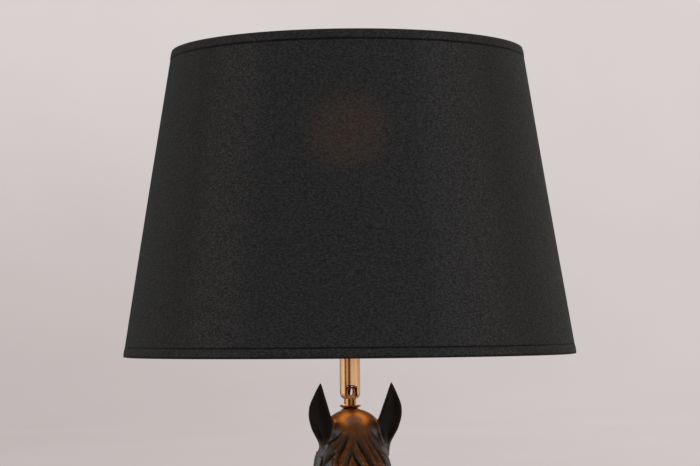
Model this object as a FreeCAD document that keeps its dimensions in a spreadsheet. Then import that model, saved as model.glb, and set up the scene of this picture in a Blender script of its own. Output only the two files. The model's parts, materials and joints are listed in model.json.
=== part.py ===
"""A table lamp: a resin horse's head on a round plinth, a tilting stem, and a tapered fabric shade.

The frame is +Z up with its origin on the table, under the middle of the stem. The horse looks along -Y.
All sizes are in millimetres. The driving sizes are cells of the sheet named Sizes.
Every sub-part reads them.
"""
import FreeCAD, Part
import math
import os
import re
import sys

import Sketcher

V = FreeCAD.Vector
X_AXIS, Y_AXIS, Z_AXIS = V(1, 0, 0), V(0, 1, 0), V(0, 0, 1)

CELLS = {
    # the resin base, its weight and what closes it underneath
    "felt_thickness": 2,
    "cover_thickness": 2.5,
    "plinth_radius": 86,
    "plinth_step_radius": 78,
    "plinth_step_level": 25,
    "plinth_top": 38,
    "plinth_top_wall": 8,
    "cavity_radius": 72,
    "weight_radius": 57,
    "weight_thickness": 8,
    "pillar_radius": 5,
    "pillar_circle": 64.5,
    "cover_screw_radius": 1.6,
    "screw_head_height": 1.3,
    "cord_exit_level": 9,
    # the tie rod and the horse it clamps to the plinth
    "seat_level": 330,
    "rod_radius": 6,
    "rod_bore": 4.05,
    "rod_foot": 14,
    "rod_clearance": 0.5,
    "washer_thickness": 1.6,
    "nut_height": 6,
    "nut_flats": 19,
    "head_length": 190,
    "resin_wall": 7,
    # the swivel at the foot of the stem
    "cup_radius": 8.7,
    "cup_bottom_radius": 5,
    "cup_rise": 2.4,
    "cup_bend": 5,
    "cup_thickness": 1.2,
    "pivot_rise": 12.7,
    "tongue_width": 7.4,
    "tongue_radius": 4.6,
    "block_width": 8.4,
    "block_depth": 11.4,
    "block_bevel": 1.5,
    "block_edge_bevel": 0.9,
    "block_top_rise": 8.5,
    "wire_bore": 2.8,
    "window_radius": 2.5,
    "window_shift": 0.45,
    "lead_radius": 0.95,
    "slot_width": 9.2,
    "slot_rise": 18.3,
    "slot_corner": 2,
    "pivot_screw_radius": 2,
    "pivot_tip_radius": 1.5,
    "running_gap": 0.05,
    # the stem and the lamp holder on top of it
    "stem_radius": 8,
    "stem_wall": 1.2,
    "stem_foot": 337,
    "stem_round": 5,
    "stem_top": 424,
    "plug_top": 362,
    "nipple_radius": 5,
    "nipple_bore": 3.8,
    "saddle_thickness": 2,
    "holder_foot": 430,
    "holder_radius": 17,
    "holder_top": 489,
    "bulb_foot": 462,
    "bulb_radius": 32,
    "bulb_top": 580,
    # the harp
    "harp_wire_radius": 2,
    "harp_leg": 28,
    "harp_leg_foot": 446.4,
    "harp_top": 592,
    "harp_belly": 47,
    "ferrule_radius": 3.6,
    "ferrule_length": 18,
    "ferrule_foot": 438,
    "post_radius": 3.1,
    # the shade
    "shade_bottom": 371.5,
    "shade_height": 240,
    "shade_bottom_radius": 177.5,
    "shade_top_radius": 138.5,
    "fabric_thickness": 0.6,
    "lining_thickness": 0.5,
    "hem_height": 7.2,
    "hem_thickness": 0.4,
    "ring_wire_radius": 1.5,
    "spider_level": 595.5,
    "spider_wire_radius": 1.6,
    # the cord and what is on it
    "cord_radius": 2.7,
    "switch_length": 62,
    "switch_width": 24,
    "switch_height": 16,
    "switch_distance": 76,
    "switch_screw_radius": 1.1,
    "coil_radius": 62,
    "coil_pitch": 7,
}

doc = FreeCAD.newDocument("TableLamp")
sheet = doc.addObject("Spreadsheet::Sheet", "Sizes")
for row, (name, size) in enumerate(CELLS.items(), start=1):
    sheet.set("A%d" % row, name)
    sheet.set("B%d" % row, str(size))
    sheet.setAlias("B%d" % row, name)
doc.recompute()

subparts = []


# ---- helpers -------------------------------------------------------------------------------------


def named(formula):
    """The formula with Sizes. put before each cell's name, as other objects must write it."""
    return re.sub(r"[a-z]+(?:_[a-z]+)+", lambda word: "Sizes." + word.group(0), str(formula))


def size(formula):
    """The number that a formula of cell names gives now."""
    return float(doc.getObject("Sizes").evalExpression(named(formula).replace("Sizes.", "")))


def subpart(thing, label):
    """Marks an object of the document as one sub-part; its label names its file."""
    thing.Label = label
    subparts.append(thing)
    return thing


def bind(thing, **formulas):
    """Binds properties to formulas of cells. A double underscore stands for a dot."""
    for prop, formula in formulas.items():
        thing.setExpression(prop.replace("__", "."), named(formula))
    return thing


def plane_of(body, role):
    return [feature for feature in body.Origin.OriginFeatures if feature.Role == role][0]


def sketch_on(body, role, name, offset="0"):
    sketch = body.newObject("Sketcher::SketchObject", name)
    sketch.AttachmentSupport = [(plane_of(body, role), "")]
    sketch.MapMode = "FlatFace"
    bind(sketch, AttachmentOffset__Base__z=offset)
    return sketch


def arc_between(start, end, radius):
    """An arc from start to end. A positive radius bulges to the right of the way from start to end."""
    chord = end - start
    reach = math.sqrt(max(radius * radius - chord.Length * chord.Length / 4, 0))
    right = V(chord.y, -chord.x, 0).normalize()
    side = 1 if radius > 0 else -1
    centre = (start + end) / 2 - right * reach * side
    first, last = (start, end) if side > 0 else (end, start)
    angles = [math.atan2(point.y - centre.y, point.x - centre.x) for point in (first, last)]
    if angles[1] < angles[0]:
        angles[1] += 2 * math.pi
    return Part.ArcOfCircle(Part.Circle(centre, Z_AXIS, abs(radius)), *angles)


def outline(sketch, corners):
    """Draws a closed outline. A corner is (across, up), or (across, up, radius) to go on by an arc."""
    points = [V(size(corner[0]), size(corner[1]), 0) for corner in corners]
    ends = []
    for index, corner in enumerate(corners):
        start, end = points[index], points[(index + 1) % len(points)]
        if len(corner) == 3:
            radius = size(corner[2])
            geometry = sketch.addGeometry(arc_between(start, end, radius))
            ends.append((geometry, 1, 2) if radius > 0 else (geometry, 2, 1))
        else:
            ends.append((sketch.addGeometry(Part.LineSegment(start, end)), 1, 2))
    for index, corner in enumerate(corners):
        before, here = ends[index - 1], ends[index]
        sketch.addConstraint(Sketcher.Constraint("Coincident", before[0], before[2], here[0], here[1]))
        for kind, letter, formula in (("DistanceX", "across", corner[0]), ("DistanceY", "up", corner[1])):
            constraint = Sketcher.Constraint(kind, -1, 1, here[0], here[1], size(formula))
            number = sketch.addConstraint(constraint)
            sketch.renameConstraint(number, "%s%d" % (letter, index))
            sketch.setExpression("Constraints.%s%d" % (letter, index), named(formula))
        if len(corner) == 3:
            formula = "abs(%s)" % corner[2]
            number = sketch.addConstraint(Sketcher.Constraint("Radius", here[0], size(formula)))
            sketch.renameConstraint(number, "bend%d" % index)
            sketch.setExpression("Constraints.bend%d" % index, named(formula))
    return sketch


def body_named(label):
    return subpart(doc.addObject("PartDesign::Body", label), label)


def turn(body, corners):
    """Adds half a section, turned round Z, to a body."""
    sketch = outline(sketch_on(body, "XZ_Plane", "HalfSection"), corners)
    feature = body.newObject("PartDesign::Revolution", "Turned")
    feature.Profile = sketch
    feature.ReferenceAxis = (sketch, ["V_Axis"])
    feature.Angle = 360
    body.Tip = feature
    return feature


def turned(label, corners):
    body = body_named(label)
    turn(body, corners)
    return body


def pad(body, role, corners, length, offset="0"):
    """Adds a prism with this outline, to both sides of the plane unless an offset is given."""
    feature = body.newObject("PartDesign::Pad", "Pad")
    feature.Profile = outline(sketch_on(body, role, "Outline", offset), corners)
    feature.SideType = "Symmetric" if offset == "0" else "One side"
    bind(feature, Length=length)
    body.Tip = feature
    return feature


def pocket(body, role, corners, length):
    """Cuts a prism of this length, to both sides of the plane."""
    feature = body.newObject("PartDesign::Pocket", "Pocket")
    feature.Profile = outline(sketch_on(body, role, "Outline"), corners)
    feature.SideType = "Symmetric"
    bind(feature, Length=length)
    body.Tip = feature
    return feature


def circle_in(sketch, across, up, radius):
    """Adds a circle to a sketch, its centre and radius bound to formulas."""
    circle = sketch.addGeometry(Part.Circle(V(size(across), size(up), 0), Z_AXIS, size(radius)))
    bounds = [
        (Sketcher.Constraint("DistanceX", -1, 1, circle, 3, size(across)), across),
        (Sketcher.Constraint("DistanceY", -1, 1, circle, 3, size(up)), up),
        (Sketcher.Constraint("Radius", circle, size(radius)), radius),
    ]
    for constraint, formula in bounds:
        number = sketch.addConstraint(constraint)
        sketch.setExpression("Constraints[%d]" % number, named(formula))


def bore(body, role, across, up, radius, length, offset="0", reverse=False):
    """Cuts a round hole to both sides of the plane, or one way if it has an offset or is reversed."""
    sketch = sketch_on(body, role, "Bore", offset)
    circle_in(sketch, across, up, radius)
    feature = body.newObject("PartDesign::Pocket", "BorePocket")
    feature.Profile = sketch
    feature.SideType = "Symmetric" if offset == "0" and not reverse else "One side"
    feature.Reversed = reverse
    bind(feature, Length=length)
    body.Tip = feature
    return feature


def post(body, across, up, radius, length, foot, hole=None):
    """Adds an upright round post, with a hole down its middle where one is asked for."""
    sketch = sketch_on(body, "XY_Plane", "Post", foot)
    for circle_radius in (radius,) if hole is None else (radius, hole):
        circle_in(sketch, across, up, circle_radius)
    feature = body.newObject("PartDesign::Pad", "PostPad")
    feature.Profile = sketch
    bind(feature, Length=length)
    body.Tip = feature
    return feature


def dressed(body, kind, wanted, **formulas):
    """Gives a fillet or a chamfer to those of the body's edges that wanted(edge) picks."""
    doc.recompute()
    before = body.Tip
    names = ["Edge%d" % (number + 1) for number, edge in enumerate(before.Shape.Edges) if wanted(edge)]
    feature = body.newObject("PartDesign::" + kind, kind)
    feature.Base = (before, names)
    bind(feature, **formulas)
    body.Tip = feature
    return feature


def rounded(body, radius, wanted):
    return dressed(body, "Fillet", wanted, Radius=radius)


def rod(label, radius, length, foot, place=(0, 0), along="z", sign=1):
    """A plain round bar: a primitive that starts at foot on the axis it runs along."""
    bar = doc.addObject("Part::Cylinder", label)
    bind(bar, Radius=radius, Height=length)
    if along == "z":
        spot = (str(place[0]), str(place[1]), foot)
    else:
        axis, degrees = (Y_AXIS, 90) if along == "x" else (X_AXIS, -90)
        turned_to = FreeCAD.Rotation(axis, degrees * sign)
        bar.Placement = FreeCAD.Placement(V(), turned_to)
        spot = (foot, place[0], place[1]) if along == "x" else (place[0], foot, place[1])
    bind(bar, Placement__Base__x=spot[0], Placement__Base__y=spot[1], Placement__Base__z=spot[2])
    return bar


def joined(kind, label, *things):
    """A boolean or a compound of other objects of the document."""
    whole = doc.addObject(kind, label)
    if kind == "Part::Cut":
        whole.Base, whole.Tool = things
    elif kind == "Part::Compound":
        whole.Links = list(things)
    else:
        whole.Shapes = list(things)
    return whole


def shaped(label, shape):
    """A sub-part whose shape comes from Part's own functions, with sizes read from the sheet."""
    thing = doc.addObject("Part::Feature", label)
    thing.Shape = shape
    return subpart(thing, label)


def piped(path, radius):
    """A round bar swept along a wire that starts at its first vertex."""
    edge = path.OrderedEdges[0]
    forward = edge.Vertexes[0].Point.distanceToPoint(path.OrderedVertexes[0].Point) < 1e-6
    start = edge.FirstParameter if forward else edge.LastParameter
    direction = edge.tangentAt(start) * (1 if forward else -1)
    circle = Part.makeCircle(radius, path.OrderedVertexes[0].Point, direction)
    return path.makePipeShell([Part.Wire(circle)], True, False)


def smooth(points, first, last):
    """A smooth edge through points, timed by their distances, that starts and ends in these directions."""
    distances = [0.0]
    for before, after in zip(points[:-1], points[1:]):
        distances.append(distances[-1] + before.distanceToPoint(after))
    curve = Part.BSplineCurve()
    curve.interpolate(Points=points, Parameters=distances, InitialTangent=V(first).normalize(),
                      FinalTangent=V(last).normalize(), Scale=False)
    return curve.toShape()


# ---- the plinth and what is under it -------------------------------------------------------------


def plinth():
    """Cast resin, stepped outside and hollow below, with screw pillars and the cord's exit at the back."""
    floor = "felt_thickness"
    body = turned("plinth", [
        ("plinth_radius - 1", floor),
        ("plinth_radius", "felt_thickness + 1"),
        ("plinth_radius", "plinth_step_level - 3", "3"),
        ("plinth_radius - 3", "plinth_step_level"),
        ("plinth_step_radius + 4", "plinth_step_level", "-4"),
        ("plinth_step_radius", "plinth_step_level + 4"),
        ("plinth_step_radius", "plinth_top - 2", "2"),
        ("plinth_step_radius - 2", "plinth_top"),
        ("rod_radius + rod_clearance", "plinth_top"),
        ("rod_radius + rod_clearance", "plinth_top - plinth_top_wall"),
        ("cavity_radius", "plinth_top - plinth_top_wall"),
        ("cavity_radius", floor),
    ])
    pillar_foot = "felt_thickness + cover_thickness"
    for across, up in corner_places():
        post(body, across, up, "pillar_radius", "plinth_top - plinth_top_wall + 0.5 - (%s)" % pillar_foot,
             pillar_foot, "cover_screw_radius + running_gap")
    bore(body, "XZ_Plane", "0", "cord_exit_level", "cord_radius + 1.5", "plinth_radius - cavity_radius + 5",
         "-plinth_radius - 1", reverse=True)
    return body


def corner_places():
    """The four places of the plinth's pillars and of the screws up into them."""
    return [("pillar_circle * cos(%d)" % angle, "pillar_circle * sin(%d)" % angle)
            for angle in (45, 135, 225, 315)]


def base_weight():
    """A cast-iron ring that the rod's nut pulls up under the plinth's top wall."""
    top = "plinth_top - plinth_top_wall"
    return turned("base_weight", [
        ("rod_radius + rod_clearance", top + " - weight_thickness"),
        ("weight_radius - 1", top + " - weight_thickness"),
        ("weight_radius", top + " - weight_thickness + 1"),
        ("weight_radius", top),
        ("rod_radius + rod_clearance", top),
    ])


def bottom_cover():
    """A board let into the plinth's mouth, with four countersunk holes."""
    body = turned("bottom_cover", [
        ("0", "felt_thickness"),
        ("cavity_radius - 0.5", "felt_thickness"),
        ("cavity_radius - 0.5", "felt_thickness + cover_thickness"),
        ("0", "felt_thickness + cover_thickness"),
    ])
    for across, up in corner_places():
        bore(body, "XY_Plane", across, up, "cover_screw_radius + running_gap",
             "4 * cover_thickness + 4 * felt_thickness")
        bore(body, "XY_Plane", across, up, "2 * cover_screw_radius + running_gap", "cover_thickness",
             "felt_thickness + screw_head_height + running_gap")
    return body


def cover_screws():
    """Four pan-head screws, up through the cover into the pillars."""
    screws = []
    for place in corner_places():
        head_foot = "felt_thickness + running_gap"
        shank = rod("CoverScrewShank", "cover_screw_radius", "15", head_foot, place)
        head = rod("CoverScrewHead", "2 * cover_screw_radius", "screw_head_height", head_foot, place)
        screws.append(joined("Part::MultiFuse", "CoverScrew", shank, head))
    return subpart(joined("Part::Compound", "cover_screws", *screws), "cover_screws")


def felt_pad():
    return turned("felt_pad", [
        ("0", "0"),
        ("plinth_radius - 2", "0"),
        ("plinth_radius - 2", "felt_thickness"),
        ("0", "felt_thickness"),
    ])


def cord_bushing():
    """A flanged bush that the cord leaves the plinth through."""
    foot = "cavity_radius - 1"
    barrel = rod("BushBarrel", "cord_radius + 1.45", "plinth_radius - cavity_radius + 1", foot,
                 ("0", "cord_exit_level"), "y")
    flange = rod("BushFlange", "cord_radius + 3.3", "2", "plinth_radius", ("0", "cord_exit_level"), "y")
    whole = joined("Part::MultiFuse", "BushWhole", barrel, flange)
    hole = rod("BushHole", "cord_radius + running_gap", "40", "cavity_radius - 10",
               ("0", "cord_exit_level"), "y")
    return subpart(joined("Part::Cut", "cord_bushing", whole, hole), "cord_bushing")


# ---- the tie rod ---------------------------------------------------------------------------------


def tie_rod():
    """A hollow rod that clamps horse, plinth and weight together and carries the cord."""
    return turned("tie_rod", [
        ("rod_bore", "rod_foot"),
        ("rod_radius", "rod_foot"),
        ("rod_radius", "seat_level - 3"),
        ("rod_bore", "seat_level - 3"),
    ])


def rod_washer():
    top = "plinth_top - plinth_top_wall - weight_thickness"
    return turned("rod_washer", [
        ("rod_radius + 0.3", top + " - washer_thickness"),
        ("nut_flats * 0.75", top + " - washer_thickness"),
        ("nut_flats * 0.75", top),
        ("rod_radius + 0.3", top),
    ])


def rod_nut():
    """A hexagon nut under the washer."""
    body = body_named("rod_nut")
    corner = "nut_flats / 2 / cos(30)"
    corners = [("%s * cos(%d)" % (corner, turn_by), "%s * sin(%d)" % (corner, turn_by))
               for turn_by in range(0, 360, 60)]
    foot = "plinth_top - plinth_top_wall - weight_thickness - washer_thickness - nut_height"
    pad(body, "XY_Plane", corners, "nut_height", foot)
    bore(body, "XY_Plane", "0", "0", "rod_radius + running_gap", "4 * plinth_top")
    return body


# ---- the horse -----------------------------------------------------------------------------------


def oval(centre, half_width, half_depth, backward):
    """A closed smooth wire round centre, in the plane of X and the backward direction."""
    points = []
    for step in range(12):
        angle = 2 * math.pi * step / 12
        across = X_AXIS * half_width * math.sin(angle)
        points.append(centre + across + backward * half_depth * math.cos(angle))
    curve = Part.BSplineCurve()
    curve.interpolate(Points=points, PeriodicFlag=True)
    return Part.Wire(curve.toShape())


def leaning(degrees):
    """The backward direction of a section that leans this far from level."""
    return V(0, math.cos(math.radians(degrees)), math.sin(math.radians(degrees)))


def ellipsoid(centre, radii):
    """A ball stretched to these radii."""
    ball = Part.makeSphere(1)
    matrix = FreeCAD.Matrix()
    matrix.scale(*radii)
    matrix.move(centre)
    return ball.transformGeometry(matrix)


# The neck's sections, from the plinth to the poll: how far up the neck, how far behind the stem, half width
# and half depth, all as shares of the head's length, and the lean in degrees.
NECK = [
    (0.000, 0.037, 0.237, 0.342, 0),
    (0.170, 0.074, 0.200, 0.316, 0),
    (0.380, 0.121, 0.168, 0.289, 0),
    (0.590, 0.163, 0.150, 0.274, 0),
    (0.800, 0.184, 0.137, 0.258, 0),
    (1.010, 0.174, 0.132, 0.237, 6),
    (1.180, 0.126, 0.130, 0.211, 25),
    (1.326, 0.032, 0.126, 0.179, 50),
    (1.380, -0.074, 0.116, 0.147, 75),
]

# The head's sections, from the poll to the lips, as shares of the head's length: how far down the face,
# half width, and depth from the face's front line to the jaw.
HEAD = [
    (0.00, 0.110, 0.25),
    (0.12, 0.142, 0.33),
    (0.25, 0.163, 0.38),
    (0.38, 0.172, 0.40),
    (0.50, 0.147, 0.36),
    (0.62, 0.116, 0.29),
    (0.75, 0.098, 0.235),
    (0.87, 0.104, 0.23),
    (0.95, 0.092, 0.19),
    (1.00, 0.050, 0.11),
]

# One ear's sections from root to tip: share of its length, how far it stands out from a straight line,
# half width and half thickness in millimetres.
EAR = [
    (0.00, 0.0, 5.0, 6.0),
    (0.22, 1.2, 7.6, 6.4),
    (0.48, 1.8, 8.6, 5.4),
    (0.74, 1.2, 6.0, 3.8),
    (0.92, 0.4, 2.4, 1.8),
]
EAR_ROOT, EAR_TIP = V(24.0, -22, 299), V(27.6, -31, 350)
FACE_PITCH = 28
FACE_TOP = V(0, -38, 314)


def neck_loft(shrink=0.0):
    length = size("head_length")
    foot = size("plinth_top")
    wires = []
    for rise, back, half_width, half_depth, lean in NECK:
        centre = V(0, back * length, foot + rise * length)
        wires.append(oval(centre, half_width * length - shrink, half_depth * length - shrink, leaning(lean)))
    return Part.makeLoft(wires, True)


def head_loft():
    length = size("head_length")
    down = V(0, -math.sin(math.radians(FACE_PITCH)), -math.cos(math.radians(FACE_PITCH)))
    backward = V(0, math.cos(math.radians(FACE_PITCH)), -math.sin(math.radians(FACE_PITCH)))
    wires = []
    for share, half_width, depth in HEAD:
        centre = FACE_TOP + down * share * length + backward * depth / 2 * length
        wires.append(oval(centre, half_width * length, depth / 2 * length, backward))
    return Part.makeLoft(wires, True)


def ear_loft(side):
    """side is 1 for the ear at +X and -1 for the other."""
    along = EAR_TIP - EAR_ROOT
    wires = []
    for share, outward, half_width, half_thickness in EAR:
        centre = EAR_ROOT + along * share + X_AXIS * outward
        wires.append(oval(V(centre.x * side, centre.y, centre.z), half_width * side, half_thickness, Y_AXIS))
    tip = Part.Vertex(V(EAR_TIP.x * side, EAR_TIP.y, EAR_TIP.z))
    return Part.makeLoft(wires + [tip], True)


def horse_bust():
    """A hollow resin casting: neck, head, ears, and a flat seat on the poll for the swivel's cup."""
    length = size("head_length")
    seat = size("seat_level")
    poll = ellipsoid(V(0, -8, seat - 25), (22.3, 33, 25.3))
    cheeks = [ellipsoid(V(side * 0.10 * length, -42, 232), (15, 30, 36)) for side in (-1, 1)]
    boss = Part.makeCylinder(size("cup_radius") + 1, 20, V(0, 0, seat - 20))
    solid = neck_loft()
    for shape in [head_loft(), poll, boss] + cheeks + [ear_loft(1), ear_loft(-1)]:
        solid = solid.fuse(shape)
    above_seat = Part.makeCylinder(size("cup_radius") + 1, 10, V(0, 0, seat))
    below_foot = Part.makeBox(400, 400, 100, V(-200, -200, size("plinth_top") - 100))
    room = Part.makeBox(400, 400, 232, V(-200, -200, size("plinth_top") - 1))
    hollow = neck_loft(size("resin_wall")).common(room)
    rod_hole = Part.makeCylinder(size("rod_radius + rod_clearance"), 400)
    for tool in (above_seat, below_foot, hollow, rod_hole):
        solid = solid.cut(tool)
    return shaped("horse_bust", solid.removeSplitter())


# ---- the swivel ----------------------------------------------------------------------------------

PIVOT = "(seat_level + pivot_rise)"


def swivel_cup():
    """The bowl-shaped washer between the horse's poll and the swivel."""
    return turned("swivel_cup", [
        ("rod_bore + 0.1", "seat_level"),
        ("cup_bottom_radius", "seat_level", "cup_bend"),
        ("cup_radius", "seat_level + cup_rise"),
        ("cup_radius - 0.7", "seat_level + cup_rise + 0.2", "-(cup_bend - 0.9)"),
        ("cup_bottom_radius + 1", "seat_level + cup_thickness"),
        ("rod_bore + 0.1", "seat_level + cup_thickness"),
    ])


def swivel_tongue():
    """The eye that the stem tilts on, the bevelled block under it, and the hollow stud down into the rod."""
    body = body_named("swivel_tongue")
    side, front = "(block_width / 2)", "(block_depth / 2)"
    pad(body, "XY_Plane", [
        ("-(%s - block_bevel)" % side, "-" + front),
        (side + " - block_bevel", "-" + front),
        (side, "-(%s - block_bevel)" % front),
        (side, front + " - block_bevel"),
        (side + " - block_bevel", front),
        ("-(%s - block_bevel)" % side, front),
        ("-" + side, front + " - block_bevel"),
        ("-" + side, "-(%s - block_bevel)" % front),
    ], "block_top_rise - cup_thickness", "seat_level + cup_thickness")
    dressed(body, "Chamfer", lambda edge: edge.BoundBox.ZLength < 0.01, Size="block_edge_bevel")
    pad(body, "YZ_Plane", [
        ("-tongue_radius", "seat_level + block_top_rise - 1"),
        ("tongue_radius", "seat_level + block_top_rise - 1"),
        ("tongue_radius", PIVOT, "tongue_radius"),
        ("0", PIVOT + " + tongue_radius", "tongue_radius"),
        ("-tongue_radius", PIVOT),
    ], "tongue_width")
    rounded(body, "0.9", lambda edge: edge.BoundBox.XLength < 0.01 and edge.BoundBox.ZMax > size(PIVOT))
    turn(body, [
        ("0", "seat_level - 16"),
        ("rod_bore - running_gap", "seat_level - 16"),
        ("rod_bore - running_gap", "seat_level + cup_thickness + 1"),
        ("0", "seat_level + cup_thickness + 1"),
    ])
    bore(body, "XY_Plane", "0", "0", "wire_bore", "4 * seat_level")
    bore(body, "YZ_Plane", "0", PIVOT, "pivot_tip_radius + running_gap", "3 * tongue_width")
    for sign in (1, -1):
        level = "%s + %d * window_shift" % (PIVOT, sign)
        bore(body, "XZ_Plane", "0", level, "window_radius", "2 * block_depth")
    return body


def fork_slot(body):
    """The upright slot, open below, that the tongue stands in, and the pivot screws' holes."""
    half = "slot_width / 2"
    roof = "seat_level + slot_rise"
    pocket(body, "XZ_Plane", [
        ("-" + half, "stem_foot - 5"),
        (half, "stem_foot - 5"),
        (half, roof + " - slot_corner", "slot_corner"),
        (half + " - slot_corner", roof),
        ("-" + half + " + slot_corner", roof, "slot_corner"),
        ("-" + half, roof + " - slot_corner"),
    ], "4 * stem_radius")
    bore(body, "YZ_Plane", "0", PIVOT, "pivot_screw_radius + running_gap", "4 * stem_radius")


def stem_tube():
    """The copper-coloured tube, its foot spun round and slotted to make the swivel's fork."""
    shoulder = "stem_foot + stem_round"
    body = turned("stem_tube", [
        ("stem_radius - stem_round", "stem_foot", "stem_round"),
        ("stem_radius", shoulder),
        ("stem_radius", "stem_top"),
        ("stem_radius - stem_wall", "stem_top"),
        ("stem_radius - stem_wall", shoulder, "-(stem_round - stem_wall)"),
        ("stem_radius - stem_round", "stem_foot + stem_wall"),
    ])
    fork_slot(body)
    return body


def fork_plug():
    """The solid liner inside the tube's foot that gives the fork its thickness."""
    shoulder = "stem_foot + stem_round"
    inner = "stem_radius - stem_wall - running_gap"
    body = turned("fork_plug", [
        ("stem_radius - stem_round", "stem_foot + stem_wall + running_gap",
         "stem_round - stem_wall - running_gap"),
        (inner, shoulder),
        (inner, "plug_top"),
        ("stem_radius - stem_round", "plug_top"),
    ])
    fork_slot(body)
    return body


def pivot_screws():
    """Two flush screws whose plain tips the tongue turns on."""
    screws = []
    for sign in (1, -1):
        side = "%d * " % sign
        shank = rod("PivotShank", "pivot_screw_radius", "3", side + "4.65", ("0", PIVOT), "x", sign)
        tip = rod("PivotTip", "pivot_tip_radius", "1.8", side + "2.9", ("0", PIVOT), "x", sign)
        whole = joined("Part::MultiFuse", "PivotWhole", shank, tip)
        slit = doc.addObject("Part::Box", "PivotSlit")
        bind(slit, Length="1", Width="8", Height="0.7", Placement__Base__x="%s7.35 - 0.5" % side,
             Placement__Base__y="-4", Placement__Base__z=PIVOT + " - 0.35")
        screws.append(joined("Part::Cut", "PivotScrew", whole, slit))
    return subpart(joined("Part::Compound", "pivot_screws", *screws), "pivot_screws")


def friction_washers():
    """Two thin discs between the tongue and the fork's legs."""
    washers = []
    for sign in (1, -1):
        foot = "%d * (tongue_width / 2 + 0.03)" % sign
        disc = rod("FrictionDisc", "tongue_radius - 1.2", "0.82", foot, ("0", PIVOT), "x", sign)
        hole = rod("FrictionHole", "pivot_tip_radius + running_gap", "8", "%d * 2" % sign,
                   ("0", PIVOT), "x", sign)
        washers.append(joined("Part::Cut", "FrictionWasher", disc, hole))
    return subpart(joined("Part::Compound", "friction_washers", *washers), "friction_washers")


# ---- the lamp holder -----------------------------------------------------------------------------


def tube_bush():
    """The threaded bush pressed into the top of the tube."""
    return turned("tube_bush", [
        ("nipple_radius + running_gap", "stem_top - 10"),
        ("stem_radius - stem_wall - running_gap", "stem_top - 10"),
        ("stem_radius - stem_wall - running_gap", "stem_top"),
        ("stem_radius", "stem_top"),
        ("stem_radius", "stem_top + 1.5"),
        ("nipple_radius + running_gap", "stem_top + 1.5"),
    ])


def nipple():
    """The short threaded tube that holds bush, saddle, ring nut and holder cap together."""
    return turned("nipple", [
        ("nipple_bore", "stem_top - 8"),
        ("nipple_radius", "stem_top - 8"),
        ("nipple_radius", "holder_foot + 7"),
        ("nipple_bore", "holder_foot + 7"),
    ])


def harp_saddle():
    """A bent strip across the stem whose upturned ends carry the harp's legs."""
    body = body_named("harp_saddle")
    foot = "stem_top + 1.5"
    leg = "harp_leg"
    top = "ferrule_foot - 1"
    pad(body, "XZ_Plane", [
        ("-" + leg + " + 7", foot, "-9"),
        ("-" + leg + " - 1", foot + " + 8"),
        ("-" + leg + " - 1", top),
        ("-" + leg + " + 1", top),
        ("-" + leg + " + 1", foot + " + 8", "7"),
        ("-" + leg + " + 8", foot + " + saddle_thickness"),
        (leg + " - 8", foot + " + saddle_thickness", "7"),
        (leg + " - 1", foot + " + 8"),
        (leg + " - 1", top),
        (leg + " + 1", top),
        (leg + " + 1", foot + " + 8", "-9"),
        (leg + " - 7", foot),
    ], "12")
    for sign in (1, -1):
        post(body, "%d * harp_leg" % sign, "0", "harp_wire_radius", "harp_leg_foot - 0.3 - ferrule_foot + 5",
             "ferrule_foot - 5")
    bore(body, "XY_Plane", "0", "0", "nipple_radius + running_gap", "4 * stem_top")
    return body


def ring_nut():
    foot = "stem_top + 1.5 + saddle_thickness"
    return turned("ring_nut", [
        ("nipple_radius + running_gap", foot),
        ("stem_radius", foot),
        ("stem_radius", "holder_foot - 0.5"),
        ("stem_radius - 0.5", "holder_foot"),
        ("nipple_radius + running_gap", "holder_foot"),
    ])


def holder_cap():
    """The bell-shaped lower cap of the lamp holder."""
    return turned("holder_cap", [
        ("nipple_radius + running_gap", "holder_foot"),
        ("6.5", "holder_foot"),
        ("6.5", "holder_foot + 5", "-4"),
        ("10", "holder_foot + 9"),
        ("13", "holder_foot + 9.5", "5"),
        ("holder_radius", "holder_foot + 14"),
        ("holder_radius", "holder_foot + 22"),
        ("holder_radius - 0.7", "holder_foot + 22"),
        ("holder_radius - 0.7", "holder_foot + 14.5", "-4.5"),
        ("12.8", "holder_foot + 10.4"),
        ("9.5", "holder_foot + 9.8"),
        ("nipple_radius + running_gap", "holder_foot + 8"),
    ])


def holder_shell():
    """The outer metal shell, with a rolled bead near its mouth."""
    outside = "holder_radius - 0.75"
    return turned("holder_shell", [
        (outside + " - 0.6", "holder_foot + 17"),
        (outside, "holder_foot + 17"),
        (outside, "holder_top - 6"),
        (outside + " + 0.8", "holder_top - 5"),
        (outside + " + 0.8", "holder_top - 3"),
        (outside, "holder_top - 2"),
        (outside, "holder_top"),
        (outside + " - 0.6", "holder_top"),
    ])


def holder_insulator():
    """The fibre sleeve between the outer shell and the live parts."""
    outside = "holder_radius - 1.4"
    return turned("holder_insulator", [
        (outside + " - 0.8", "holder_foot + 18"),
        (outside, "holder_foot + 18"),
        (outside, "holder_top - 0.5"),
        (outside + " - 0.8", "holder_top - 0.5"),
    ])


def holder_block():
    """The moulded block that carries the contacts, with two holes for the terminal screws."""
    body = turned("holder_block", [
        ("0", "bulb_foot - 8"),
        ("11", "bulb_foot - 8"),
        ("14.75", "bulb_foot - 5"),
        ("14.75", "bulb_foot - 1.5"),
        ("0", "bulb_foot - 1.5"),
    ])
    return body


def screw_shell():
    """The threaded metal cup that the bulb's cap turns in."""
    return turned("screw_shell", [
        ("5.5", "bulb_foot - 1.4"),
        ("13.7", "bulb_foot - 1.4"),
        ("13.7", "holder_top - 2"),
        ("13.2", "holder_top - 2"),
        ("13.2", "bulb_foot - 0.9"),
        ("5.5", "bulb_foot - 0.9"),
    ])


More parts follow.
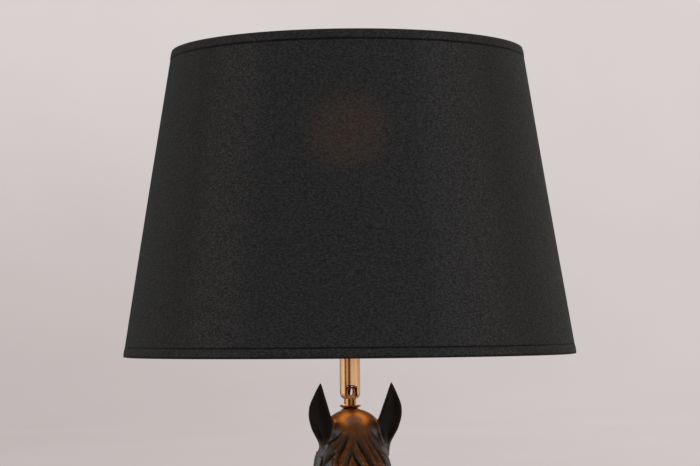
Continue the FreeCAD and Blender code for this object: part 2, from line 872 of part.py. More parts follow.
def centre_contact():
    """The sprung brass tongue under the bulb's tip."""
    return turned("centre_contact", [
        ("0", "bulb_foot - 1.4"),
        ("4", "bulb_foot - 1.4"),
        ("4", "bulb_foot - 0.9"),
        ("2", "bulb_foot - 0.1"),
        ("0", "bulb_foot - 0.1"),
    ])


def terminal_screws():
    """Two screws that clamp the leads to the side of the block."""
    screws = []
    for sign in (1, -1):
        foot = "%d * 10.2" % sign
        screws.append(rod("TerminalScrew", "1.6", "2.6", "bulb_foot - 10.7", (foot, "0")))
    return subpart(joined("Part::Compound", "terminal_screws", *screws), "terminal_screws")


def stem_wire():
    """The cord's upper length: up the stem and, as two leads, to the terminals."""
    radius = size("cord_radius")
    low = size(PIVOT) + 5.5
    split = size("holder_foot") + 9
    top = size("bulb_foot") - 11
    trunk = Part.makeCylinder(radius, split - low, V(0, 0, low))
    for side in (-1, 1):
        lead = [V(side * 1.2, 0, split - 3), V(side * 4, 0, split + 4), V(side * 10.2, 0, top)]
        trunk = trunk.fuse(piped(Part.Wire(smooth(lead, Z_AXIS, Z_AXIS)), 1.1))
    return shaped("stem_wire", trunk)


# ---- the bulb ------------------------------------------------------------------------------------


def bulb_contact():
    return turned("bulb_contact", [
        ("0", "bulb_foot"),
        ("3", "bulb_foot"),
        ("4.5", "bulb_foot + 1"),
        ("4.5", "bulb_foot + 2"),
        ("0", "bulb_foot + 2"),
    ])


def bulb_cap():
    """The bulb's screw cap, with its threads as rings."""
    corners = [("4.6", "bulb_foot + 1.5"), ("9.5", "bulb_foot + 3.5")]
    for turn_number in range(5):
        level = "bulb_foot + %.1f" % (6 + 3.6 * turn_number)
        corners += [("12.2", level), ("13", level + " + 1.2"), ("13", level + " + 1.8")]
    corners += [("12.2", "bulb_foot + 25"), ("13.1", "bulb_foot + 26.4"), ("4.6", "bulb_foot + 26.4")]
    return turned("bulb_cap", corners)


def bulb_housing():
    """The flared plastic body above the cap."""
    return turned("bulb_housing", [
        ("0", "bulb_foot + 26.5"),
        ("13.6", "bulb_foot + 26.5"),
        ("15.5", "bulb_foot + 30", "-40"),
        ("23.4", "bulb_foot + 49"),
        ("0", "bulb_foot + 49"),
    ])


def bulb_globe():
    """The opal globe: a ball that runs down into a cone."""
    drop = "8"
    centre = "(bulb_top - bulb_radius)"
    wall = "1.2"
    edge = "sqrt(bulb_radius ^ 2 - %s ^ 2)" % drop
    inner_edge = "sqrt((bulb_radius - %s) ^ 2 - %s ^ 2)" % (wall, drop)
    foot = "bulb_foot + 49.1"
    return turned("bulb_globe", [
        ("23.4", foot),
        (edge, "%s - %s" % (centre, drop), "bulb_radius"),
        ("0", "bulb_top"),
        ("0", "bulb_top - " + wall, "-(bulb_radius - %s)" % wall),
        (inner_edge, "%s - %s" % (centre, drop)),
        ("23.4 - " + wall, foot),
    ])


# ---- the harp ------------------------------------------------------------------------------------


def harp_path():
    """The wire's centre line: straight legs, a wide belly and a flat top."""
    leg, foot, top, belly = size("harp_leg"), size("harp_leg_foot"), size("harp_top"), size("harp_belly")
    straight = foot + 26
    rise = top - straight
    side = [
        V(leg, 0, straight),
        V(belly * 0.94, 0, straight + 0.34 * rise),
        V(belly, 0, straight + 0.56 * rise),
        V(belly * 0.78, 0, straight + 0.84 * rise),
        V(9, 0, top),
    ]
    other = [V(-point.x, 0, point.z) for point in reversed(side)]
    edges = [
        Part.makeLine(V(leg, 0, foot), side[0]),
        smooth(side, Z_AXIS, X_AXIS * -1),
        Part.makeLine(side[-1], other[0]),
        smooth(other, X_AXIS * -1, Z_AXIS * -1),
        Part.makeLine(other[-1], V(-leg, 0, foot)),
    ]
    return Part.Wire(edges)


def harp_wire():
    return shaped("harp_wire", piped(harp_path(), size("harp_wire_radius")))


def harp_post():
    """The seat on the harp's top and the threaded post above it, with a cross hole for the wire."""
    body = turned("harp_post", [
        ("0", "harp_top - 4"),
        ("4.2", "harp_top - 4"),
        ("4.2", "spider_level - 1.5"),
        ("8", "spider_level - 1.5"),
        ("8", "spider_level"),
        ("post_radius", "spider_level"),
        ("post_radius", "spider_level + 14"),
        ("0", "spider_level + 14"),
    ])
    bore(body, "YZ_Plane", "0", "harp_top", "harp_wire_radius + running_gap", "20")
    return body


def ferrule(label, sign):
    """A sleeve that locks one of the harp's legs to the saddle."""
    outer = rod("FerruleOuter", "ferrule_radius", "ferrule_length", "ferrule_foot",
                ("%d * harp_leg" % sign, "0"))
    inner = rod("FerruleInner", "harp_wire_radius + running_gap", "2 * ferrule_length",
                "ferrule_foot - ferrule_length / 2", ("%d * harp_leg" % sign, "0"))
    return subpart(joined("Part::Cut", label, outer, inner), label)


# ---- the shade -----------------------------------------------------------------------------------

SHADE_TOP = "(shade_bottom + shade_height)"


def cone(level, inset="0"):
    """The radius of the shade's outside at a level, less an inset."""
    slope = "(shade_bottom_radius - shade_top_radius) / shade_height"
    return "shade_bottom_radius - (%s - shade_bottom) * %s - (%s)" % (level, slope, inset)


def cone_shell(label, inset, thickness):
    """One layer of the shade's wall, between the two folded hems."""
    low, high = "(shade_bottom + hem_thickness)", "(%s - hem_thickness)" % SHADE_TOP
    return turned(label, [
        (cone(low, "%s + %s" % (inset, thickness)), low),
        (cone(low, inset), low),
        (cone(high, inset), high),
        (cone(high, "%s + %s" % (inset, thickness)), high),
    ])


def hem(label, edge, sign):
    """The folded tape round one edge of the shade. sign is 1 at the bottom edge and -1 at the top."""
    skin = "fabric_thickness + lining_thickness"
    inside = "(%s + 2 * ring_wire_radius + 0.2)" % skin
    outer_end = "(%s + %d * hem_height)" % (edge, sign)
    inner_end = "(%s + %d * 5)" % (edge, sign)
    fold = "(%s + %d * hem_thickness)" % (edge, sign)
    fold_in = "(%s + %d * 0.35)" % (edge, sign)
    corners = [
        (cone(edge, inside + " + hem_thickness"), edge),
        (cone(edge, "-hem_thickness"), edge),
        (cone(outer_end, "-hem_thickness"), outer_end),
        (cone(outer_end, "-0.01"), outer_end),
        (cone(fold_in, "-0.01"), fold_in),
        (cone(fold, inside), fold_in),
        (cone(inner_end, inside), inner_end),
        (cone(inner_end, inside + " + hem_thickness"), inner_end),
    ]
    return turned(label, corners)


def shade_ring(label, level):
    """A wire ring inside one of the folded hems."""
    ring = doc.addObject("Part::Torus", label)
    bind(ring, Radius1=cone(level, "fabric_thickness + lining_thickness + ring_wire_radius + 0.1"),
         Radius2="ring_wire_radius", Placement__Base__z=level)
    return subpart(ring, label)


def spider_arm(angle, radius):
    """One of the three wires from the hub out to the top ring."""
    hub = size("spider_level") + 1
    ring_level = size(SHADE_TOP + " - hem_thickness - ring_wire_radius")
    ring = size(cone(str(ring_level), "fabric_thickness + lining_thickness + ring_wire_radius + 0.1"))
    path = Part.Wire([
        Part.makeLine(V(9.5, 0, hub), V(ring - 14, 0, hub)),
        smooth([V(ring - 14, 0, hub), V(ring - 6, 0, hub + 3.5), V(ring - 1.2, 0, ring_level - 1.0)],
               X_AXIS, V(0.35, 0, 1)),
    ])
    arm = piped(path, radius)
    arm.rotate(V(), Z_AXIS, angle)
    return arm


def spider():
    """The hub washer and its three arms, which carry the shade on the harp's post."""
    hub = Part.makeCylinder(12, 2, V(0, 0, size("spider_level")))
    for angle in (90, 210, 330):
        hub = hub.fuse(spider_arm(angle, size("spider_wire_radius")))
    hole = Part.makeCylinder(size("post_radius") + 0.2, 20, V(0, 0, size("spider_level") - 5))
    return shaped("spider", hub.cut(hole))


def top_hem():
    """The top tape, notched where the spider's arms pass through its inner fold."""
    whole = hem("whole_top_hem", SHADE_TOP, -1)
    subparts.remove(whole)
    whole.Label = "WholeTopHem"
    notches = doc.addObject("Part::Feature", "ArmNotches")
    notches.Shape = Part.makeCompound([spider_arm(angle, size("spider_wire_radius") + 0.3)
                                       for angle in (90, 210, 330)])
    return subpart(joined("Part::Cut", "top_hem", whole, notches), "top_hem")


def finial():
    """The turned knob that screws down on the post and holds the shade."""
    foot = "(spider_level + 2.1)"
    return turned("finial", [
        ("post_radius + running_gap", foot),
        ("7", foot),
        ("7.4", foot + " + 1.2"),
        ("7", foot + " + 2.4", "-3"),
        ("4.4", foot + " + 5"),
        ("4.4", foot + " + 6.5", "6.8"),
        ("0", foot + " + 6.5 + sqrt(6.8 ^ 2 - 4.4 ^ 2) + 6.8"),
        ("0", foot + " + 13"),
        ("post_radius + running_gap", foot + " + 13"),
    ])


# ---- the cord ------------------------------------------------------------------------------------


def on_table(x, y, z=None):
    """A point of the cord's centre line, a little clear of the table, as the path dips between points."""
    return V(x, y, size("cord_radius") + 0.4 if z is None else z)


def cord_lamp_side():
    """From the switch along the table, into the plinth, up inside the tie rod and, as two leads, the eye."""
    level = size("cord_exit_level")
    wall = size("plinth_radius") + 3
    run = wall + 26
    bend = 6.0
    top = size(PIVOT) - 4.2
    switch_end = size("switch_distance - switch_length / 2")
    middle = size("switch_height") / 2
    curve = smooth(
        [V(0, wall, level), on_table(0.8, wall + 12, 4.6), on_table(8, run - 4), on_table(20, run),
         V(switch_end - 2, run, middle)],
        Y_AXIS, X_AXIS)
    turn_up = Part.makeCircle(bend, V(0, bend, level + bend), X_AXIS, 180, 270)
    path = Part.Wire(Part.__sortEdges__([
        Part.makeLine(V(0, 0, top), V(0, 0, level + bend)),
        turn_up,
        Part.makeLine(V(0, bend, level), V(0, wall, level)),
        curve,
        Part.makeLine(V(switch_end - 2, run, middle), V(switch_end + 3, run, middle)),
    ]))
    cord = piped(path, size("cord_radius"))
    for side in (1, -1):
        start, through, end = V(-0.7, side, top - 2), V(-0.95, side, top + 3), V(-0.45, side, top + 7.5)
        lead = smooth([start, through, end], Z_AXIS, Z_AXIS)
        cord = cord.fuse(piped(Part.Wire(lead), size("lead_radius")))
    return shaped("cord_lamp_side", cord)


def cord_plug_side():
    """From the switch through a flat coil on the table to the plug in the middle of the coil."""
    run = size("plinth_radius") + 29
    switch_end = size("switch_distance + switch_length / 2")
    middle = size("switch_height") / 2
    coil_x = switch_end + 26
    radius, pitch = size("coil_radius"), size("coil_pitch")
    twelfths_of_a_turn = 29
    points = []
    for step in range(twelfths_of_a_turn + 1):
        angle = 2 * math.pi * step / 12
        reach = radius - pitch * angle / (2 * math.pi)
        points.append(on_table(coil_x + reach * math.sin(angle), run + radius - reach * math.cos(angle)))
    plug = plug_place()
    points.append(V(plug.x + 13, plug.y + 20, 4.4))
    points.append(V(plug.x + 2.5, plug.y + 11, plug.z - 0.6))
    points.append(plug)
    start = [V(switch_end + 2, run, middle), on_table(switch_end + 14, run, 4.2)]
    path = Part.Wire([
        Part.makeLine(V(switch_end - 3, run, middle), start[0]),
        smooth(start + points, X_AXIS, V(0, -1, 0)),
    ])
    return shaped("cord_plug_side", piped(path, size("cord_radius")))


def plug_place():
    """Where the cord enters the plug, in the middle of the coil."""
    x = size("switch_distance + switch_length / 2") + 14
    return V(x, size("plinth_radius") + 29 + size("coil_radius") + 19, 7.5)


def plug_body():
    """A moulded plug that lies in the middle of the coil with its blades towards -Y."""
    place = plug_place()
    sections = [(-1, 5.0, 4.6), (-4, 6.6, 5.6), (-14, 10.5, 7.2), (-27, 11.5, 7.4)]
    wires = []
    for back, half_width, half_height in sections:
        corners = [(1, 1), (-1, 1), (-1, -1), (1, -1)]
        ring = [V(place.x + a * half_width, place.y + back, place.z + b * half_height) for a, b in corners]
        wires.append(Part.makePolygon(ring + ring[:1]))
    solid = Part.makeLoft(wires, True, True)
    solid = solid.makeFillet(1.2, solid.Edges)
    hole = Part.makeCylinder(size("cord_radius") + 0.05, 6, V(place.x, place.y + 1, place.z), V(0, -1, 0))
    return shaped("plug_body", solid.cut([hole] + [blade_box(side, 0.05) for side in (-1, 1)]))


def blade_box(side, gap):
    """One blade of the plug on the side given, or the hole for it where a gap is given."""
    thickness, length, height = 1.5 + 2 * gap, 22 + gap, 6.3 + 2 * gap
    place = plug_place()
    return Part.makeBox(thickness, length, height,
                        V(place.x + side * 6.35 - thickness / 2, place.y - 45, place.z - height / 2))


def plug_blades():
    """Two flat blades that stand out of the plug."""
    blades = [blade_box(side, 0) for side in (-1, 1)]
    return shaped("plug_blades", Part.makeCompound([blade.makeFillet(0.6, blade.Edges) for blade in blades]))


def switch_outline(inset):
    """The switch's plan: a long box with rounded ends, less an inset."""
    half_length = "(switch_length / 2 - %s)" % inset
    half_width = "(switch_width / 2 - %s)" % inset
    centre_x, centre_y = "switch_distance", "(plinth_radius + 29)"
    corner = "(8 - %s)" % inset
    right, left = "%s + %s" % (centre_x, half_length), "%s - %s" % (centre_x, half_length)
    back, front = "%s + %s" % (centre_y, half_width), "%s - %s" % (centre_y, half_width)
    return [
        (left + " + " + corner, front),
        (right + " - " + corner, front, corner),
        (right, front + " + " + corner),
        (right, back + " - " + corner, corner),
        (right + " - " + corner, back),
        (left + " + " + corner, back, corner),
        (left, back + " - " + corner),
        (left, front + " + " + corner, corner),
    ]


def switch_half(label, low, high, inner_low, inner_high, boss_low, boss_high):
    """One half of the switch's case: a tray with a wall all round and a boss for each screw."""
    body = body_named(label)
    pad(body, "XY_Plane", switch_outline("0"), "%s - (%s)" % (high, low), low)
    cut = body.newObject("PartDesign::Pocket", "Hollow")
    cut.Profile = outline(sketch_on(body, "XY_Plane", "HollowOutline", inner_high), switch_outline("1.8"))
    bind(cut, Length="%s - (%s)" % (inner_high, inner_low))
    body.Tip = cut
    bore(body, "YZ_Plane", "plinth_radius + 29", "switch_height / 2", "cord_radius + running_gap",
         "4 * switch_distance")
    for across, up in screw_places():
        post(body, across, up, "3", "%s - (%s)" % (boss_high, boss_low), boss_low,
             "switch_screw_radius + running_gap")
    return body


def screw_places():
    """The places of the two screws that hold the switch together."""
    return [("switch_distance + %d * 19" % sign, "plinth_radius + 29 + 7.5") for sign in (1, -1)]


def switch_bottom():
    middle = "switch_height / 2"
    body = switch_half("switch_bottom", "0.01", middle, "1.8", middle + " + 1", "1", middle)
    for across, up in screw_places():
        bore(body, "XY_Plane", across, up, "switch_screw_radius + running_gap", "4 * switch_height")
        bore(body, "XY_Plane", across, up, "2 * switch_screw_radius + running_gap", "3", "2.4")
    return body


def switch_top():
    """The upper half, with the rocker's window."""
    middle = "(switch_height / 2 + 0.05)"
    body = switch_half("switch_top", middle, "switch_height", middle + " - 1", "switch_height - 1.8", middle,
                       "switch_height - 1")
    cut = body.newObject("PartDesign::Pocket", "RockerWindow")
    half_length, half_width = "9.7", "5.3"
    centre_y = "(plinth_radius + 29)"
    cut.Profile = outline(sketch_on(body, "XY_Plane", "Window", "switch_height + 1"), [
        ("switch_distance - " + half_length, centre_y + " - " + half_width),
        ("switch_distance + " + half_length, centre_y + " - " + half_width),
        ("switch_distance + " + half_length, centre_y + " + " + half_width),
        ("switch_distance - " + half_length, centre_y + " + " + half_width),
    ])
    bind(cut, Length="4")
    body.Tip = cut
    return body


def switch_screws():
    """Two screws that hold the halves of the switch together."""
    screws = []
    for place in screw_places():
        shank = rod("SwitchShank", "switch_screw_radius", "12", "1", place)
        head = rod("SwitchHead", "2 * switch_screw_radius", "screw_head_height", "1", place)
        screws.append(joined("Part::MultiFuse", "SwitchScrew", shank, head))
    return subpart(joined("Part::Compound", "switch_screws", *screws), "switch_screws")


ROCKER_TILT = 8


def switch_rocker():
    """The rocker, pressed down at its +X end as it is when the lamp is on."""
    x, y, z = size("switch_distance"), size("plinth_radius + 29"), size("switch_height") - 4.5
    profile = [V(-8.8, 0, 5.2), V(-8.8, 0, -1), V(-2.2, 0, -4), V(2.2, 0, -4), V(8.8, 0, -1), V(8.8, 0, 5.2)]
    saddle_edge = Part.Arc(profile[-1], V(0, 0, 3.9), profile[0]).toShape()
    wire = Part.Wire([Part.makeLine(a, b) for a, b in zip(profile[:-1], profile[1:])] + [saddle_edge])
    solid = Part.Face(wire).extrude(V(0, 9.8, 0))
    solid.translate(V(0, -4.9, 0))
    solid = solid.cut(Part.makeCylinder(1.05, 20, V(0, -10, 0), Y_AXIS))
    solid.rotate(V(), Y_AXIS, ROCKER_TILT)
    solid.translate(V(x, y, z))
    return shaped("switch_rocker", solid)


def rocker_pin():
    """The pin that the rocker turns on, held in the case's two long walls."""
    half = "(switch_width / 2 - 1.9)"
    return subpart(rod("rocker_pin", "1", "2 * " + half, "plinth_radius + 29 - " + half,
                       ("switch_distance", "switch_height - 4.5"), "y"), "rocker_pin")


# ---- build, check and write ----------------------------------------------------------------------


def build():
    for make in (plinth, base_weight, bottom_cover, cover_screws, felt_pad, cord_bushing,
                 tie_rod, rod_washer, rod_nut, horse_bust,
                 swivel_cup, swivel_tongue, stem_tube, fork_plug, pivot_screws, friction_washers,
                 tube_bush, nipple, harp_saddle, ring_nut, holder_cap, holder_shell, holder_insulator,
                 holder_block, screw_shell, centre_contact, terminal_screws, stem_wire,
                 bulb_contact, bulb_cap, bulb_housing, bulb_globe, harp_wire, harp_post,
                 spider, top_hem, finial, cord_lamp_side, cord_plug_side, plug_body, plug_blades,
                 switch_bottom, switch_top, switch_screws, switch_rocker, rocker_pin):
        make()
    ferrule("ferrule_left", -1)
    ferrule("ferrule_right", 1)
    cone_shell("shade_fabric", "0", "fabric_thickness")
    cone_shell("shade_lining", "fabric_thickness + 0.02", "lining_thickness - 0.02")
    hem("bottom_hem", "shade_bottom", 1)
    shade_ring("bottom_ring", "(shade_bottom + hem_thickness + ring_wire_radius)")
    shade_ring("top_ring", "(%s - hem_thickness - ring_wire_radius)" % SHADE_TOP)


def faults():
    """What is wrong with the document, as a list of sentences."""
    found = []
    for thing in doc.Objects:
        if "Invalid" in thing.State or "Error" in thing.State:
            found.append("%s did not compute: %s" % (thing.Label, thing.State))
    for thing in subparts:
        shape = thing.Shape
        if shape.isNull() or not shape.isValid() or not shape.Solids:
            found.append("%s has no valid solid" % thing.Label)
    return found


build()
doc.recompute()
problems = faults()
if problems:
    print("\n".join(problems))
    sys.exit(1)
os.makedirs("parts", exist_ok=True)
for thing in subparts:
    thing.Shape.exportStep(os.path.join("parts", thing.Label + ".step"))
print("wrote %d sub-parts" % len(subparts))
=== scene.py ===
"""The looks of the table lamp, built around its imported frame.

The frame is +Z up in metres, with its origin on the table under the stem. The horse looks along -Y.
The horse is carved in millimetres in a field of distances and then meshed.
"""

import json
import math

import bpy
import numpy as np
import openvdb
from mathutils import Matrix, Vector

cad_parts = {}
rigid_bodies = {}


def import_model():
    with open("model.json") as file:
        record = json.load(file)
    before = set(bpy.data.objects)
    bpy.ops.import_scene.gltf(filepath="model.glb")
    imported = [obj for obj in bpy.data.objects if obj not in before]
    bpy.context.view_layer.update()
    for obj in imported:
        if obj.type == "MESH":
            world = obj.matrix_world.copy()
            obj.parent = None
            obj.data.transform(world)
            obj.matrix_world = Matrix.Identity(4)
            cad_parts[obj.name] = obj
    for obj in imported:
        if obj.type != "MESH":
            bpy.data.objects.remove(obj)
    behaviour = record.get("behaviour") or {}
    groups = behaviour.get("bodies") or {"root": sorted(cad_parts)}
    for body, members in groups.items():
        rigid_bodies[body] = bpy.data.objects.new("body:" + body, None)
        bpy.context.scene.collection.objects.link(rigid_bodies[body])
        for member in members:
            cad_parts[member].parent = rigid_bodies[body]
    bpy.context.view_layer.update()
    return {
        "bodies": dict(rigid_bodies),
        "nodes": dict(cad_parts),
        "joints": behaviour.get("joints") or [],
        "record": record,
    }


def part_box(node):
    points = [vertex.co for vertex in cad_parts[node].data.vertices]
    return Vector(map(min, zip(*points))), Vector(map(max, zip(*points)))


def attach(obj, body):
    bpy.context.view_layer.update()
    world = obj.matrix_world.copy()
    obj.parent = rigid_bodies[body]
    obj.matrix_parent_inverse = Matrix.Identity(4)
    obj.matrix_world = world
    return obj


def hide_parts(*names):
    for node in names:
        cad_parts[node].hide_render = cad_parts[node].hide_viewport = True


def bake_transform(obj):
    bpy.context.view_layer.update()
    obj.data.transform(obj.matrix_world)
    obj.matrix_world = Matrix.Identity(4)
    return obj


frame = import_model()
MM = 0.001
chance = np.random.default_rng(20)
CAMERA_AZIMUTH = -8.5
# What the horse's mesh says at each of its points, for its material; the groove mark holds painted shade for grooves
# and hollows.
MARKS = ("groove", "across", "hair", "ear")


# ---- meshes ----


def mesh_object(name, points, faces, material):
    mesh = bpy.data.meshes.new(name)
    mesh.from_pydata([tuple(point) for point in points], [], [tuple(face) for face in faces])
    mesh.polygons.foreach_set("use_smooth", [True] * len(mesh.polygons))
    mesh.materials.append(material)
    thing = bpy.data.objects.new(name, mesh)
    bpy.context.scene.collection.objects.link(thing)
    return thing


def curve_through(points, steps):
    """A smooth line through points, with this many steps from each to the next."""
    points = np.asarray(points, float)
    before = np.vstack([2 * points[0] - points[1], points[:-1]])
    after = np.vstack([points[1:], 2 * points[-1] - points[-2]])
    slopes = (after - before) / 2
    share = np.linspace(0, 1, steps, endpoint=False)[:, None]
    parts = []
    for a, b, da, db in zip(points[:-1], points[1:], slopes[:-1], slopes[1:]):
        parts.append(a * (1 + 2 * share) * (1 - share) ** 2 + da * share * (1 - share) ** 2
                     + b * share ** 2 * (3 - 2 * share) + db * share ** 2 * (share - 1))
    return np.vstack(parts + [points[-1:]])


def table_curve(x, knots, heights):
    """A smooth curve through (knot, height) pairs, read at x, flat beyond its ends."""
    dense = curve_through(np.column_stack([knots, heights]), 12)
    return np.interp(x, dense[:, 0], dense[:, 1])


def lathe(name, profile, turns, material, ripple=None, closed=True):
    """A profile of (radius, height) in metres, turned round Z. ripple(angle, radius, height) moves its points."""
    profile = np.asarray(profile, float)
    count = len(profile)
    angle = np.linspace(0, 2 * math.pi, turns, endpoint=False)[:, None] + np.zeros(count)
    radius, height = profile[:, 0] + np.zeros_like(angle), profile[:, 1] + np.zeros_like(angle)
    if ripple:
        radius, height = ripple(angle, radius, height)
    points = np.stack([radius * np.sin(angle), -radius * np.cos(angle), height], -1).reshape(-1, 3)
    here = np.arange(turns)[:, None] * count + np.arange(count)
    right = np.roll(here, -1, 0)
    faces = np.stack([here, right, np.roll(right, -1, 1), np.roll(here, -1, 1)], -1)
    faces = faces if closed else faces[:, :-1]
    return mesh_object(name, points, faces.reshape(-1, 4), material)


# ---- materials ----


class Nodes:
    """A tree of shader nodes, written one node a line."""

    def __init__(self, tree):
        self.tree = tree

    def node(self, kind, inputs=None, **settings):
        made = self.tree.nodes.new("ShaderNode" + kind)
        for key, value in settings.items():
            setattr(made, key, value)
        for key, value in (inputs or {}).items():
            self.feed(made.inputs[key], value)
        return made

    def feed(self, socket, value):
        if isinstance(value, bpy.types.NodeSocket):
            self.tree.links.new(value, socket)
        elif socket.type == "RGBA" and len(value) == 3:
            socket.default_value = (*value, 1)
        else:
            socket.default_value = value

    def math(self, operation, *values):
        return self.node("Math", dict(enumerate(values)), operation=operation).outputs[0]

    def times(self, first, *others):
        for value in others:
            first = self.math("MULTIPLY", first, value)
        return first

    def plus(self, a, b):
        return self.math("ADD", a, b)

    def less(self, a, b):
        return self.math("SUBTRACT", a, b)

    def size(self, value):
        return self.math("ABSOLUTE", value)

    def span(self, value, low, high, to_low=0.0, to_high=1.0, kind="SMOOTHSTEP"):
        """Carries value from low..high over to to_low..to_high, held at both ends."""
        inputs = {"Value": value, "From Min": low, "From Max": high, "To Min": to_low, "To Max": to_high}
        return self.node("MapRange", inputs, interpolation_type=kind).outputs[0]

    def mix(self, share, a, b, blend="MIX"):
        return self.node("Mix", {0: share, 6: a, 7: b}, data_type="RGBA", blend_type=blend).outputs[2]

    def dot(self, a, b):
        return self.node("VectorMath", {0: a, 1: b}, operation="DOT_PRODUCT").outputs["Value"]

    def parts(self, vector):
        return self.node("SeparateXYZ", {"Vector": vector}).outputs


class Paint(Nodes):
    """A material made of nodes."""

    def __init__(self, name):
        self.material = bpy.data.materials.new(name)
        self.material.use_nodes = True
        super().__init__(self.material.node_tree)
        self.shader = self.tree.nodes["Principled BSDF"]
        self.place = self.node("TexCoord").outputs["Object"]
        self.x, self.y, self.z = self.parts(self.place)

    def shade(self, **inputs):
        """Feeds the shader. An underscore in a name stands for a space."""
        for key, value in inputs.items():
            self.feed(self.shader.inputs[key.replace("_", " ")], value)
        return self.material

    def noise(self, scale, detail=3.0, roughness=0.5, place=None, distortion=0.0):
        inputs = {"Vector": place or self.place, "Scale": scale, "Detail": detail, "Roughness": roughness,
                  "Distortion": distortion}
        return self.node("TexNoise", inputs).outputs["Fac"]

    def bump(self, height, depth, strength=1.0, under=None):
        inputs = {"Height": height, "Distance": depth, "Strength": strength}
        if under is not None:
            inputs["Normal"] = under
        return self.node("Bump", inputs).outputs[0]

    def stretched(self, x, y, z):
        return self.node("Mapping", {"Vector": self.place, "Scale": (x, y, z)}).outputs[0]

    def facing(self, azimuth):
        """How squarely the surface faces a level direction: 1 when it faces that way fully."""
        turn = math.radians(azimuth)
        return self.dot(self.node("NewGeometry").outputs["Normal"], (math.sin(turn), -math.cos(turn), 0))


def resin():
    """Dark bronze-brown casting resin with a waxed satin skin. Painted shade darkens it and dims its shine in
    creases, grooves and hollows, on the forelock's hair and on the ears, which are also duller.
    """
    paint = Paint("resin")
    cloudy, fine = paint.noise(22, 5, 0.6), paint.noise(420, 4, 0.6)
    edges = paint.node("NewGeometry").outputs["Pointiness"]
    groove, across, hair, ears = (paint.node("Attribute", attribute_name=name).outputs["Fac"] for name in MARKS)
    worn = paint.times(paint.span(edges, 0.515, 0.60), paint.span(cloudy, 0.35, 0.65, 0.35, 1.0),
                       paint.span(hair, 0.0, 1.0, 0.55, 0.12))
    # Painted shade: creases and the marked grooves and hollows are darkened and lose shine.
    painted_crease_shade = paint.math("MAXIMUM", paint.span(edges, 0.48, 0.40), groove)
    base = paint.mix(paint.span(cloudy, 0.35, 0.7), (0.0100, 0.0058, 0.0036), (0.0190, 0.0100, 0.0055))
    base = paint.mix(worn, base, (0.075, 0.036, 0.016))
    # Painted shade: darker on the forelock's hair, in creases and grooves, and on the ears.
    base = paint.mix(paint.times(hair, 0.45), base, (0.0060, 0.0034, 0.0022))
    base = paint.mix(painted_crease_shade, base, (0.0025, 0.0015, 0.001))
    base = paint.mix(ears, base, (0.0050, 0.0036, 0.0030))
    rough = paint.plus(paint.span(cloudy, 0.3, 0.75, 0.27, 0.38), paint.times(fine, 0.05))
    rough = paint.plus(rough, paint.times(ears, 0.22))
    combed = paint.node("CombineXYZ", {0: paint.times(across, 34.0), 2: paint.times(paint.z, 70.0)})
    strands = paint.noise(1.0, 3, 0.6, combed.outputs[0])
    skin = paint.bump(fine, 0.00006, 0.35, paint.bump(paint.noise(90), 0.00025, 0.30))
    skin = paint.bump(paint.times(strands, hair), 0.0011, 0.8, skin)
    # Painted shade also dims the shine in creases and grooves, on the ears and on the hair.
    shine = paint.times(paint.less(1.0, paint.times(painted_crease_shade, 0.75)), paint.less(1.0, paint.times(ears, 0.80)),
                        paint.span(hair, 0.0, 1.0, 1.0, 0.62))
    return paint.shade(Base_Color=base, Roughness=rough, Normal=skin, IOR=1.66, Specular_IOR_Level=shine)


def copper():
    """Polished copper plate with faint drawing lines and a little warm tarnish."""
    paint = Paint("copper")
    lines = paint.noise(60, 4, 0.65, paint.stretched(60, 60, 1.2))
    cloudy = paint.noise(55, 4, 0.6)
    tint = paint.mix(paint.span(cloudy, 0.45, 0.8), (0.93, 0.575, 0.325), (0.8184, 0.4485, 0.2145))
    rough = paint.plus(paint.span(cloudy, 0.3, 0.8, 0.10, 0.17), paint.times(lines, 0.06))
    return paint.shade(Base_Color=tint, Metallic=1.0, Roughness=rough, Normal=paint.bump(lines, 0.00002, 0.25))


def block_copper():
    """The copper of the swivel's block and eye: painted shade, dark and dull, on the flat faces; the bevels stay
    bright.
    """
    paint = Paint("block_copper")
    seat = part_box("swivel_tongue")[0].z + 0.016  # the block's foot, above the stud's
    normal = paint.parts(paint.node("NewGeometry").outputs["Normal"])
    flat = paint.span(paint.math("MAXIMUM", paint.size(normal[0]), paint.size(normal[1])), 0.96, 0.985)
    cloudy, fine = paint.noise(180, 4, 0.6), paint.noise(900, 4, 0.65)
    edge = paint.plus(paint.size(paint.less(paint.z, seat + 0.0048)), paint.times(cloudy, 0.0008))
    aside = paint.size(paint.x)
    patch = paint.times(paint.span(edge, 0.0027, 0.0035, 1.0, 0.0), paint.span(aside, 0.0022, 0.0029, 1.0, 0.0))
    # Painted shade: a dark, dull panel in the middle of the block's flat faces, standing in for a shaded recess.
    dark = paint.times(patch, paint.span(aside, 0.0004, 0.0012, 0.55, 1.0), flat,
                       paint.span(cloudy, 0.2, 0.8, 0.85, 1.0))
    # Painted shade on the eye's flat faces.
    eye_painted_shade = paint.times(paint.span(paint.z, seat + 0.0078, seat + 0.0095), flat, 0.55)
    dark = paint.math("MAXIMUM", dark, eye_painted_shade)
    tint = paint.mix(paint.span(cloudy, 0.35, 0.75), (0.90, 0.50, 0.20), (0.80, 0.40, 0.14))
    tint = paint.mix(dark, tint, (0.060, 0.022, 0.008))
    rough = paint.plus(paint.span(dark, 0.0, 1.0, 0.16, 0.42), paint.times(fine, 0.08))
    return paint.shade(Base_Color=tint, Metallic=1.0, Roughness=rough, Normal=paint.bump(fine, 0.00003, 0.3))


def metal(name, color, rough):
    """Plain metal with a fine directionless grain and duller patches."""
    paint = Paint(name)
    cloudy, fine = paint.noise(40, 4), paint.noise(1200)
    tint = paint.mix(paint.span(cloudy, 0.35, 0.75), color, tuple(c * 0.72 for c in color))
    dull = paint.plus(paint.span(cloudy, 0.3, 0.8, rough, rough + 0.15), paint.times(fine, 0.08))
    return paint.shade(Base_Color=tint, Metallic=1.0, Roughness=dull, Normal=paint.bump(fine, 0.00003, 0.3))


